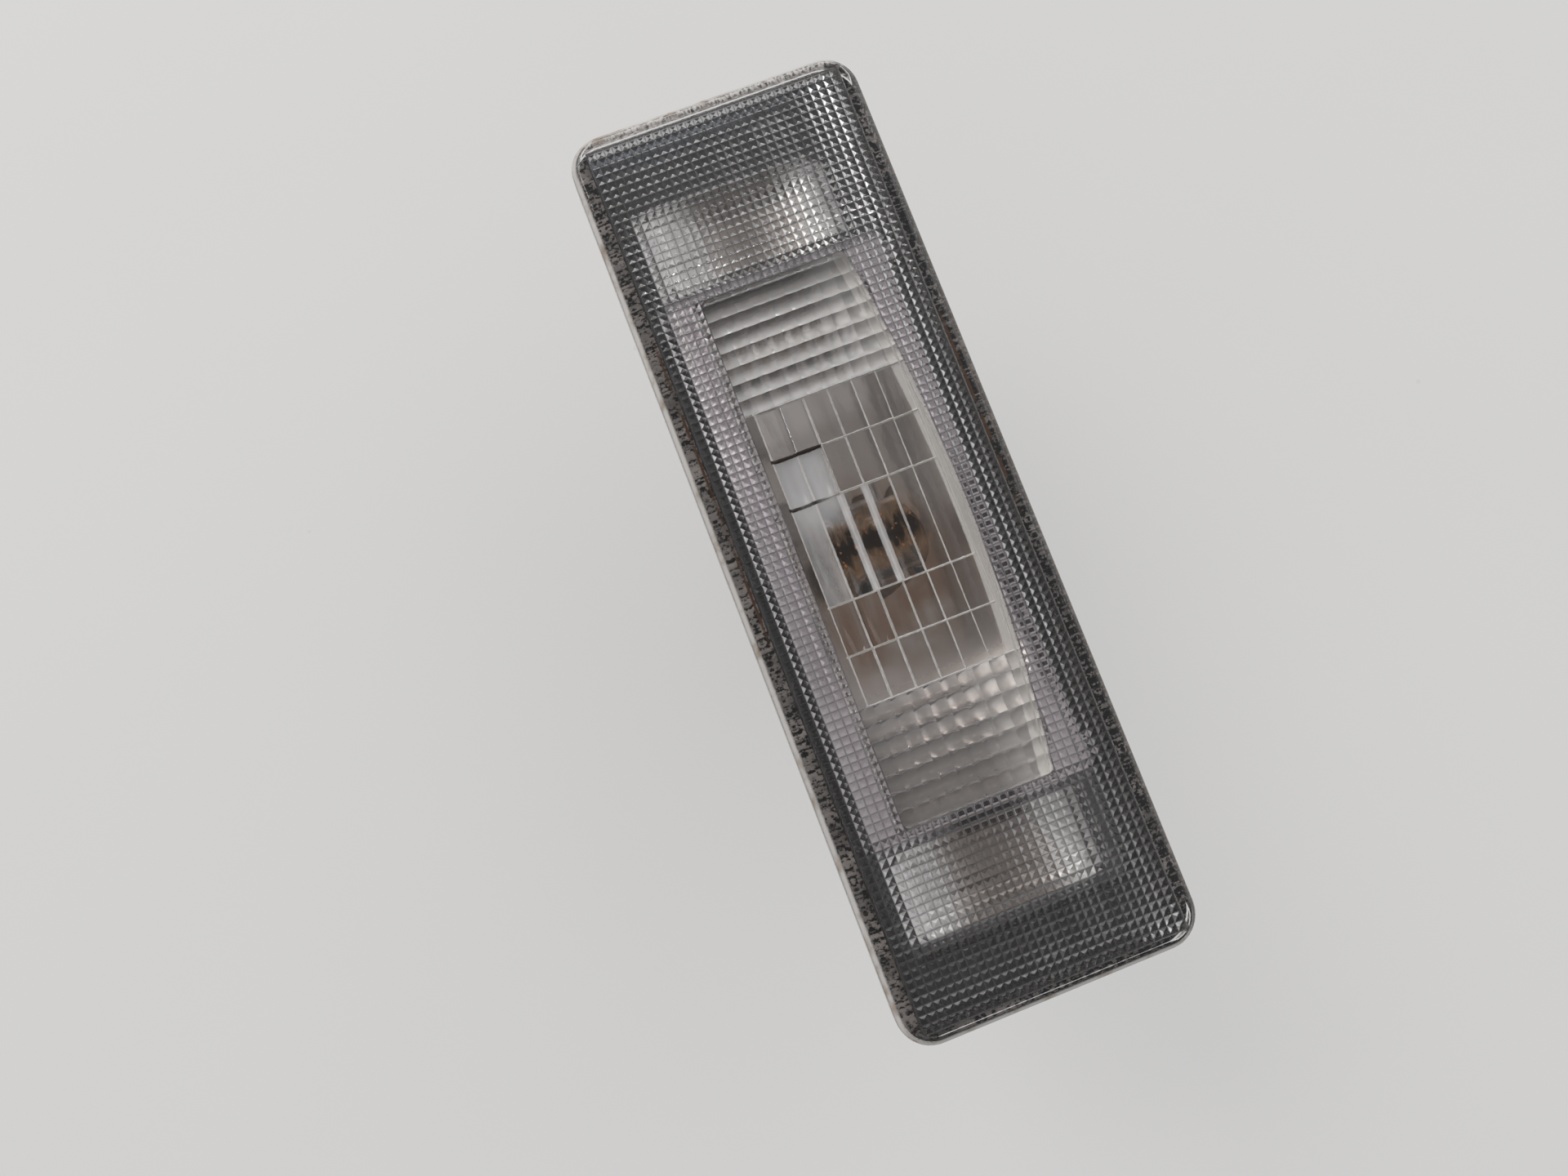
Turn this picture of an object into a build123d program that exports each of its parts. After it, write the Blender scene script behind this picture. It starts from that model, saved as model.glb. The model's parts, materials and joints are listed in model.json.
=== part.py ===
"""Number plate lamp with a clear prism lens, a bright reflector and a wedge bulb in a twist-in holder.

X runs along the lamp, Y across it, and the lens looks along +Z. The origin is on the outer face of the
panel that the lamp snaps into, in the middle of the lens. Lengths are millimetres, angles are degrees.
"""

from build123d import *
import os
from math import ceil, radians, tan

os.makedirs("parts", exist_ok=True)

# Panel and seals
PANEL_THICKNESS = 2.5
PANEL_CLEARANCE = 0.2
APERTURE_CLEARANCE = 0.5
GASKET_THICKNESS = 1.5
GASKET_INSET = 0.4
SEAL_THICKNESS = 0.5
SEAL_INSET = 0.2

# Lens shell
LENS_LENGTH = 108.6
LENS_WIDTH = 35.2
LENS_HEIGHT = 5.5
LENS_CORNER = 4.0
LENS_RIM_CHAMFER = 0.8
LENS_PLATE = 2.3
LENS_END_WALL = 1.2
LENS_NEAR_WALL = 2.4
LENS_FAR_WALL = 1.5

# Pyramid prisms on the inner face of the lens
PRISM_PITCH = 2.0
PRISM_HEIGHT = 0.6
PRISM_BED = 0.2

# Thick window in the lens, straight on its near side and bowed on its far side
WINDOW_LENGTH = 64.0
WINDOW_NEAR = -9.0
WINDOW_END_WIDTH = 17.7
WINDOW_BOW = 2.4
WINDOW_CORNER = 0.8
WINDOW_DEPTH = 3.5
WINDOW_MOAT = 0.15

# Optics on the inner face of the window
PILLOW_PITCH = 2.0
PILLOW_HEIGHT = 0.3
ROW_GROOVE_WIDTH = 1.2
COLUMN_GROOVE_WIDTH = 0.8
COLUMN_GROOVE_DEPTH = 0.15
BLOCK_LENGTH = 6.0
BLOCK_WIDTH = 3.0
BLOCK_COLUMNS = 6
BLOCK_EDGE = 1.4
BLOCK_HEIGHT = 0.35
BLOCK_ROW_STEP = 0.2
BLOCK_SLOPE = 2.2
RAISED_HEIGHT = 0.5
RAISED_BULGE = 0.4
# Rows of blocks along the window, in block lengths, and how many of their blocks stand proud
BLOCK_ROWS = ((1, 0), (1, 2), (2, 4), (1, 2), (1, 0))
ROOT = 0.2

# Reflector
REFLECTOR_WALL = 1.0
LAND_THICKNESS = 1.2
LAND_CORNER = 2.5
WINDOW_GAP = 0.4
BOWL_DEPTH = 19.7
BOWL_FLOOR_LENGTH = 24.0
BOWL_DRAFT = 4.0
BULB_HOLE_CLEARANCE = 1.5
POCKET_BRIDGE = 2.2
POCKET_LENGTH = 9.4
POCKET_NEAR = -11.4
POCKET_FAR = 10.9
POCKET_DEPTH = 4.5
POCKET_CORNER = 0.8
MOUTH_FLARE = 1.2
MOUTH_INSET = 1.5
MOUTH_CORNER = 1.8
LUG_LENGTH = 2.8
LUG_REACH = 0.8
LUG_SPACING = 30.7

# Housing
SEAT_WIDTH = 0.6
SEAT_GAP = 0.3
FLANGE_THICKNESS = 2.0
FLANGE_INSET = 0.3
BODY_WALL = 1.6
END_DEPTH = 9.0
BODY_DEPTH = 20.8
BODY_DRAFT = 2.0
RIB_THICKNESS = 0.6
RIB_HEIGHT = 1.2
RIB_CLEARANCE = 0.15
CATCH_WIDTH = 2.0
CATCH_THICKNESS = 0.7
CATCH_NOSE = 0.4
CATCH_NOSE_HEIGHT = 0.6
CATCH_CLEARANCE = 0.1
GUSSET_THICKNESS = 1.6
GUSSET_SPACING = 12.0
GUSSET_LENGTH = 6.0
HOOK_REACH = 3.5
HOOK_WIDTH = 14.0
HOOK_THICKNESS = 2.4
HOOK_CHAMFER = 1.0

# Bulb port and twist-in holder
BULB_OFFSET = 1.5
PORT_RADIUS = 8.0
PORT_WALL = 2.4
PORT_HEIGHT = 2.0
BAYONET_LUGS = 3
BAYONET_WIDTH = 3.0
BAYONET_REACH = 1.3
BAYONET_THICKNESS = 1.6
BAYONET_CLEARANCE = 0.1
NOTCH_CLEARANCE = 0.3
HOLDER_CLEARANCE = 0.25
HOLDER_SEAL_THICKNESS = 1.2
HOLDER_FLANGE = 2.4
POCKET_CLEARANCE = 0.2
NOSE_GAP = 0.6
SHROUD_LENGTH = 11.0
SHROUD_WIDTH = 15.0
SHROUD_WALL = 1.4
SHROUD_FLOOR = 2.6
SHROUD_DEPTH = 9.5
SHROUD_CORNER = 1.5
WING_LENGTH = 6.0
WING_HEIGHT = 7.0
WING_THICKNESS = 2.0
LATCH_WIDTH = 4.0
LATCH_HEIGHT = 1.4
LATCH_LENGTH = 3.0

# Wedge bulb and its contacts
BULB_RADIUS = 5.0
BULB_GLASS = 0.6
BULB_TIP_HEIGHT = 3.0
BULB_LENGTH = 25.5
BULB_SHOULDER = 3.0
BULB_SHOULDER_PROUD = 1.0
BULB_FOOT_LENGTH = 7.0
BULB_FOOT_WIDTH = 9.5
BULB_FOOT_THICKNESS = 2.1
BULB_FOOT_CLEARANCE = 0.2
BULB_CUP_CLEARANCE = 0.4
WIRE_RADIUS = 0.22
WIRE_SIDES = 6
WIRE_SPACING = 4.4
WIRE_FOLD = 5.0
WIRE_CLEARANCE = 0.03
WIRE_ROOM = 0.7
FILAMENT_RADIUS = 0.18
FILAMENT_BELOW_TIP = 7.0
FILAMENT_SAG = 0.6
CONTACT_THICKNESS = 0.5
CONTACT_WIDTH = 5.4
CONTACT_FLARE = 0.8
CONTACT_KNEE = 3.6
CONTACT_CLEARANCE = 0.02
CONTACT_BEND = 0.3
CONTACT_TOP_GAP = 1.8
BLADE_WIDTH = 2.8
BLADE_SPACING = 6.2
BLADE_RECESS = 2.0

# Spring clip
CLIP_THICKNESS = 0.5
CLIP_WIDTH = 9.0
CLIP_BEND = 0.9
CLIP_SPREAD = 3.4
CLIP_CLEARANCE = 0.15
RAIL_THICKNESS = 1.2
RAIL_LIP = 0.8
RAIL_LENGTH = 3.5

# Levels, from the panel's outer face
FLANGE_Z = GASKET_THICKNESS
DECK_Z = FLANGE_Z + FLANGE_THICKNESS
LENS_FOOT_Z = DECK_Z + SEAL_THICKNESS
LENS_FACE_Z = LENS_FOOT_Z + LENS_HEIGHT
PLATE_Z = LENS_FACE_Z - LENS_PLATE
PRISM_TIP_Z = PLATE_Z - PRISM_BED - PRISM_HEIGHT
WINDOW_Z = PLATE_Z - WINDOW_DEPTH
LAND_Z = DECK_Z + LAND_THICKNESS
BOWL_Z = LAND_Z - BOWL_DEPTH
BEHIND_PANEL_Z = -PANEL_THICKNESS - PANEL_CLEARANCE
BODY_FLOOR_Z = BODY_WALL - BODY_DEPTH
BAYONET_Z = BODY_FLOOR_Z + BAYONET_CLEARANCE
PORT_Z = -BODY_DEPTH - PORT_HEIGHT
HOLDER_Z = PORT_Z - HOLDER_SEAL_THICKNESS
SHROUD_Z = HOLDER_Z - HOLDER_FLANGE
SHROUD_FLOOR_Z = SHROUD_Z - SHROUD_FLOOR
SHROUD_END_Z = SHROUD_FLOOR_Z - SHROUD_DEPTH
NOSE_Z = BOWL_Z - REFLECTOR_WALL - NOSE_GAP
SHOULDER_Z = NOSE_Z + BULB_SHOULDER_PROUD
BULB_NECK_Z = SHOULDER_Z - BULB_SHOULDER
BULB_FOOT_Z = BULB_NECK_Z - BULB_FOOT_LENGTH
BULB_TIP_Z = BULB_FOOT_Z + BULB_LENGTH
WIRE_TOP_Z = BULB_TIP_Z - FILAMENT_BELOW_TIP

# Outlines worked out from the sizes above
WINDOW_FAR_END = WINDOW_NEAR + WINDOW_END_WIDTH
WINDOW_FAR_MID = WINDOW_FAR_END + WINDOW_BOW
CAVITY_LENGTH = LENS_LENGTH - 2 * LENS_END_WALL
CAVITY_WIDTH = LENS_WIDTH - LENS_NEAR_WALL - LENS_FAR_WALL
CAVITY_MIDDLE = (LENS_NEAR_WALL - LENS_FAR_WALL) / 2
POCKET_START = WINDOW_LENGTH / 2 + POCKET_BRIDGE
POCKET_MIDDLE = POCKET_START + POCKET_LENGTH / 2
SEAT_MARGIN = REFLECTOR_WALL + SEAT_GAP + SEAT_WIDTH
LAND_HALF = POCKET_START + POCKET_LENGTH + SEAT_MARGIN
LAND_NEAR = min(POCKET_NEAR, WINDOW_NEAR - WINDOW_GAP) - SEAT_MARGIN
LAND_FAR_END = POCKET_FAR + SEAT_MARGIN
LAND_FAR_MID = WINDOW_FAR_MID + WINDOW_GAP + SEAT_MARGIN
BODY_GROW = BODY_WALL - SEAT_WIDTH
BODY_END = LAND_HALF + BODY_GROW
BOWL_HALF = WINDOW_LENGTH / 2 + WINDOW_GAP
HOLLOW_HALF = BOWL_HALF + REFLECTOR_WALL + SEAT_GAP
BULB_AXIS = (0, BULB_OFFSET)
CLIP_MIDDLE = BODY_END + CLIP_THICKNESS / 2


def bowed_outline(half_length, near, far_end, far_mid, grow):
    """Draws a plate outline that is straight on its near side and bowed on its far side."""
    end = half_length + grow
    with BuildLine() as outline:
        Polyline((-end, far_end + grow), (-end, near - grow), (end, near - grow), (end, far_end + grow))
        ThreePointArc((end, far_end + grow), (0, far_mid + grow), (-end, far_end + grow))
    make_face(outline.edges())


def window_outline(grow):
    bowed_outline(WINDOW_LENGTH / 2, WINDOW_NEAR, WINDOW_FAR_END, WINDOW_FAR_MID, grow)
    fillet(vertices(), WINDOW_CORNER)


def land_outline(grow):
    bowed_outline(LAND_HALF, LAND_NEAR, LAND_FAR_END, LAND_FAR_MID, grow)
    fillet(vertices(), LAND_CORNER)


def deep_outline(half_length, grow):
    """Draws the land's outline, grown, and cut to the deep middle of the housing."""
    bowed_outline(LAND_HALF, LAND_NEAR, LAND_FAR_END, LAND_FAR_MID, grow)
    Rectangle(2 * half_length, 2 * LENS_WIDTH, mode=Mode.INTERSECT)
    fillet(vertices(), LAND_CORNER)


def cavity_outline(inset, mode=Mode.ADD):
    """Draws the hollow inside the lens skirt, which lies off the middle of the lens."""
    with Locations((0, CAVITY_MIDDLE)):
        Rectangle(CAVITY_LENGTH - 2 * inset, CAVITY_WIDTH - 2 * inset, mode=mode)


def lens_outline(inset):
    RectangleRounded(LENS_LENGTH - 2 * inset, LENS_WIDTH - 2 * inset, LENS_CORNER - inset)


def tooth_row(count, height, depth):
    """Draws the space under a row of V teeth that point down, centred on the sketch's first axis."""
    start = -count * PRISM_PITCH / 2
    line = [(start, 0)]
    for tooth in range(count):
        left = start + tooth * PRISM_PITCH
        line += [(left + PRISM_PITCH / 2, -height), (left + PRISM_PITCH, 0)]
    with BuildLine() as outline:
        Polyline(*line, (-start, -depth), (start, -depth), close=True)
    make_face(outline.edges())


def groove(place, width, depth):
    """Draws a V groove that opens at the sketch's first axis."""
    with BuildLine() as outline:
        Polyline((place - width / 2, 0), (place + width / 2, 0), (place, depth), close=True)
    make_face(outline.edges())


def block_profile(column, rise, raised):
    """Draws one optic block across the window, with a face that leans towards the bulb."""
    left = WINDOW_NEAR + BLOCK_EDGE + column * BLOCK_WIDTH
    right = left + BLOCK_WIDTH
    lean = BLOCK_WIDTH * tan(radians(BLOCK_SLOPE * ((left + right) / 2 - BULB_OFFSET)))
    face = WINDOW_Z - rise
    low_left = face - max(lean, 0)
    low_right = face + min(lean, 0)
    with BuildLine() as outline:
        Polyline((left, low_left), (left, WINDOW_Z + ROOT), (right, WINDOW_Z + ROOT), (right, low_right))
        if raised:
            crown = ((left + right) / 2, (low_left + low_right) / 2 - RAISED_BULGE)
            ThreePointArc((right, low_right), crown, (left, low_left))
        else:
            Line((right, low_right), (left, low_left))
    make_face(outline.edges())


def bowl(grow):
    """Returns the bulb bowl's hollow, or its outside when it is grown by a wall."""
    half = BOWL_HALF + grow
    floor_half = BOWL_FLOOR_LENGTH / 2
    depth = BOWL_DEPTH + grow
    floor_z = LAND_Z - depth
    near = WINDOW_NEAR - WINDOW_GAP - ROOT - grow
    far = WINDOW_FAR_MID + WINDOW_GAP + ROOT + grow
    draft = BOWL_DEPTH * tan(radians(BOWL_DRAFT))
    with BuildPart() as hollow:
        with BuildSketch(Plane.XZ):
            with BuildLine():
                TangentArc((floor_half, floor_z), (half, LAND_Z), tangent=(1, 0))
                Line((half, LAND_Z), (-half, LAND_Z))
                TangentArc((-floor_half, floor_z), (-half, LAND_Z), tangent=(-1, 0))
                Line((-floor_half, floor_z), (floor_half, floor_z))
            make_face()
        extrude(amount=LENS_WIDTH, both=True)
        with BuildSketch(Plane.YZ):
            with BuildLine():
                Polyline(
                    (near, LAND_Z), (near + draft, floor_z), (far - draft, floor_z), (far, LAND_Z), close=True
                )
            make_face()
        extrude(amount=LENS_LENGTH, both=True, mode=Mode.INTERSECT)
        with BuildSketch(Plane.XY.offset(LAND_Z)):
            bowed_outline(WINDOW_LENGTH / 2, WINDOW_NEAR, WINDOW_FAR_END, WINDOW_FAR_MID, WINDOW_GAP + grow)
        extrude(amount=-2 * depth, mode=Mode.INTERSECT)
    return hollow.part


def pocket(side, grow):
    """Returns one end trough's hollow, or its outside when it is grown by a wall."""
    half_width = (POCKET_FAR - POCKET_NEAR) / 2 + grow
    middle = (POCKET_NEAR + POCKET_FAR) / 2
    depth = POCKET_DEPTH + grow
    with BuildPart() as hollow:
        with BuildSketch(Plane.YZ):
            with BuildLine():
                trough = ThreePointArc(
                    (middle - half_width, LAND_Z), (middle, LAND_Z - depth), (middle + half_width, LAND_Z)
                )
                Line(trough @ 1, trough @ 0)
            make_face()
        extrude(amount=side * LENS_LENGTH)
        with BuildSketch(Plane.XY.offset(LAND_Z)):
            with Locations((side * POCKET_MIDDLE, middle)):
                RectangleRounded(POCKET_LENGTH + 2 * grow, 2 * half_width, POCKET_CORNER + grow)
        extrude(amount=-2 * depth, mode=Mode.INTERSECT)
    return hollow.part


def pocket_mouth():
    """Returns the flare that opens the far end's trough towards the land's near edge and its end."""
    start = POCKET_START + ROOT
    length = POCKET_LENGTH - 2 * ROOT
    width = POCKET_FAR - POCKET_NEAR - 2 * MOUTH_INSET
    with BuildPart() as mouth:
        with BuildSketch(Plane.XY.offset(DECK_Z)):
            with Locations((start, POCKET_NEAR + MOUTH_INSET)):
                RectangleRounded(length, width, POCKET_CORNER, align=Align.MIN)
        with BuildSketch(Plane.XY.offset(LAND_Z)):
            with Locations((start, POCKET_NEAR - MOUTH_FLARE)):
                RectangleRounded(
                    length + MOUTH_FLARE + ROOT, width + 2 * MOUTH_INSET, MOUTH_CORNER, align=Align.MIN
                )
        loft()
    return mouth.part


def gussets(x, z, reach_x, reach_z):
    """Adds a pair of triangular ribs with their square corner at x and z."""
    for y in (-GUSSET_SPACING / 2, GUSSET_SPACING / 2):
        with BuildSketch(Plane.XZ.offset(-y)) as rib:
            with BuildLine():
                Polyline((x, z), (x + reach_x, z), (x, z + reach_z), close=True)
            make_face()
        extrude(rib.sketch, amount=GUSSET_THICKNESS / 2, both=True)


def lead_wire(side):
    """Returns one lead wire, which folds up the bulb foot's face on its own side."""
    x = side * WIRE_SPACING / 2
    face = BULB_OFFSET + side * (BULB_FOOT_THICKNESS / 2 + WIRE_CLEARANCE + WIRE_RADIUS)
    low = BULB_FOOT_Z - WIRE_CLEARANCE - WIRE_RADIUS
    with BuildPart() as wire:
        with BuildLine():
            Polyline(
                (x, BULB_OFFSET, WIRE_TOP_Z), (x, BULB_OFFSET, low), (x, face, low), (x, face, low + WIRE_FOLD)
            )
        with BuildSketch(Plane((x, BULB_OFFSET, WIRE_TOP_Z), z_dir=(0, 0, -1))):
            RegularPolygon(WIRE_RADIUS, WIRE_SIDES, major_radius=False)
        sweep(transition=Transition.RIGHT)
    return wire


def spring_contact(side):
    """Returns one contact: a sprung leaf beside the bulb foot that goes on as a blade in the plug shroud."""
    blade_y = BULB_OFFSET + side * BLADE_SPACING / 2
    reach = BULB_FOOT_THICKNESS / 2 + WIRE_CLEARANCE + 2 * WIRE_RADIUS + CONTACT_CLEARANCE
    knee_y = BULB_OFFSET + side * (reach + CONTACT_THICKNESS / 2)
    foot_z = BULB_FOOT_Z - WIRE_ROOM
    with BuildPart() as contact:
        with BuildSketch(Plane.YZ):
            with BuildLine():
                FilletPolyline(
                    (blade_y, foot_z),
                    (blade_y, BULB_FOOT_Z),
                    (knee_y, BULB_FOOT_Z + CONTACT_KNEE),
                    (knee_y + side * CONTACT_FLARE, BULB_NECK_Z - CONTACT_TOP_GAP),
                    radius=CONTACT_BEND,
                )
            trace(line_width=CONTACT_THICKNESS)
        extrude(amount=CONTACT_WIDTH / 2, both=True)
        with BuildSketch(Plane.XY.offset(foot_z)):
            with Locations((0, blade_y)):
                Rectangle(BLADE_WIDTH, CONTACT_THICKNESS)
        extrude(amount=SHROUD_END_Z + BLADE_RECESS - foot_z)
    return contact


# Pyramid prisms, cut by two crossed rows of V grooves
prism_rows = int(CAVITY_LENGTH // PRISM_PITCH)
prism_columns = int(CAVITY_WIDTH // PRISM_PITCH)
groove_origin = (0, CAVITY_MIDDLE, PLATE_Z - PRISM_BED)
with BuildPart() as prism_field:
    with BuildSketch(Plane.XY.offset(PRISM_TIP_Z)):
        with Locations((0, CAVITY_MIDDLE)):
            Rectangle(prism_rows * PRISM_PITCH, prism_columns * PRISM_PITCH)
    extrude(amount=PLATE_Z + ROOT - PRISM_TIP_Z)
    with BuildSketch(Plane.XY.offset(PRISM_TIP_Z)):
        window_outline(WINDOW_MOAT)
    extrude(amount=LENS_HEIGHT, mode=Mode.SUBTRACT)
    with BuildSketch(Plane(groove_origin, x_dir=(0, 1, 0), z_dir=(1, 0, 0))):
        tooth_row(prism_columns, PRISM_HEIGHT, LENS_HEIGHT)
    extrude(amount=LENS_LENGTH, both=True, mode=Mode.SUBTRACT)
    with BuildSketch(Plane(groove_origin, x_dir=(1, 0, 0), z_dir=(0, -1, 0))):
        tooth_row(prism_rows, PRISM_HEIGHT, LENS_HEIGHT)
    extrude(amount=LENS_WIDTH, both=True, mode=Mode.SUBTRACT)

# Pillows for one end of the window, parted by V grooves
block_zone = BLOCK_LENGTH * sum(length for length, raised in BLOCK_ROWS)
pillow_zone = (WINDOW_LENGTH - block_zone) / 2
pillow_rows = round(pillow_zone / PILLOW_PITCH)
pillow_columns = ceil((WINDOW_FAR_MID - WINDOW_NEAR) / PILLOW_PITCH)
pillow_width = pillow_columns * PILLOW_PITCH
crown_z = WINDOW_Z - PILLOW_HEIGHT
with BuildPart() as pillow_bed:
    with BuildSketch(Plane.XY.offset(crown_z)):
        with Locations((block_zone / 2, WINDOW_NEAR)):
            Rectangle(pillow_zone, pillow_width, align=(Align.MIN, Align.MIN))
    extrude(amount=PILLOW_HEIGHT + ROOT)
    with BuildSketch(Plane((0, WINDOW_NEAR, crown_z), x_dir=(1, 0, 0), z_dir=(0, -1, 0))):
        for row in range(pillow_rows):
            groove(block_zone / 2 + row * PILLOW_PITCH, ROW_GROOVE_WIDTH, PILLOW_HEIGHT)
    extrude(amount=-pillow_width, mode=Mode.SUBTRACT)
    with BuildSketch(Plane((block_zone / 2, 0, crown_z), x_dir=(0, 1, 0), z_dir=(1, 0, 0))):
        for column in range(1, pillow_columns):
            groove(WINDOW_NEAR + column * PILLOW_PITCH, COLUMN_GROOVE_WIDTH, COLUMN_GROOVE_DEPTH)
    extrude(amount=pillow_zone, mode=Mode.SUBTRACT)

# Window optics: pillows at both ends and leaning blocks between them
with BuildPart() as window_optics:
    with BuildSketch(Plane.XY.offset(WINDOW_Z)):
        Rectangle(2 * LENS_LENGTH, 2 * LENS_WIDTH)
    extrude(amount=WINDOW_DEPTH + ROOT)
    row_start = -block_zone / 2
    for row, (length, raised_columns) in enumerate(BLOCK_ROWS):
        nearness = len(BLOCK_ROWS) // 2 - abs(row - len(BLOCK_ROWS) // 2)
        with BuildSketch(Plane.YZ.offset(row_start)):
            for column in range(BLOCK_COLUMNS):
                raised = column < raised_columns
                rise = BLOCK_HEIGHT + nearness * BLOCK_ROW_STEP + (RAISED_HEIGHT if raised else 0)
                block_profile(column, rise, raised)
        extrude(amount=length * BLOCK_LENGTH)
        row_start += length * BLOCK_LENGTH
    add([pillow_bed.part, pillow_bed.part.mirror(Plane.YZ)])
    with BuildSketch(Plane.XY.offset(WINDOW_Z - LENS_HEIGHT)):
        window_outline(0)
    extrude(amount=2 * LENS_HEIGHT, mode=Mode.INTERSECT)

# Lens: a plate with a bevelled rim and a skirt, with the prisms and the window on its inner face
with BuildPart() as lens:
    with BuildSketch(Plane.XY.offset(LENS_FOOT_Z)):
        lens_outline(0)
    extrude(amount=LENS_HEIGHT)
    chamfer(faces().sort_by(Axis.Z)[-1].edges(), LENS_RIM_CHAMFER)
    with BuildSketch(Plane.XY.offset(LENS_FOOT_Z)):
        cavity_outline(0)
    extrude(amount=PLATE_Z - LENS_FOOT_Z, mode=Mode.SUBTRACT)
    add(prism_field.part)
    add(window_optics.part)

# Seal between the lens skirt and the housing
with BuildPart() as lens_seal:
    with BuildSketch(Plane.XY.offset(DECK_Z)):
        lens_outline(SEAL_INSET)
        cavity_outline(0, mode=Mode.SUBTRACT)
    extrude(amount=SEAL_THICKNESS)

# Reflector: a flat land with the bulb bowl, two end troughs and lugs along its edges
far_lug = LAND_FAR_MID + LUG_REACH
near_lug = LAND_NEAR - LUG_REACH
lug_places = [(-LUG_SPACING, near_lug), (0, near_lug), (LUG_SPACING, near_lug)]
lug_places += [(-LUG_SPACING, far_lug), (LUG_SPACING, far_lug)]
bowl_hollow, bowl_outside = bowl(0), bowl(REFLECTOR_WALL)
pocket_hollows = [pocket(side, 0) for side in (-1, 1)]
pocket_outsides = [pocket(side, REFLECTOR_WALL) for side in (-1, 1)]
mouth = pocket_mouth()
with BuildPart() as reflector:
    with BuildSketch(Plane.XY.offset(DECK_Z)):
        land_outline(0)
        for x, edge in lug_places:
            with Locations((x, edge / 2)):
                Rectangle(LUG_LENGTH, abs(edge))
    extrude(amount=LAND_THICKNESS)
    add([bowl_outside, *pocket_outsides])
    add([bowl_hollow, *pocket_hollows, mouth, mouth.mirror(Plane.YZ)], mode=Mode.SUBTRACT)
    with BuildSketch(Plane.XY.offset(BOWL_Z)):
        with Locations(BULB_AXIS):
            Circle(BULB_RADIUS + BULB_HOLE_CLEARANCE)
    extrude(amount=2 * REFLECTOR_WALL, both=True, mode=Mode.SUBTRACT)

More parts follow.
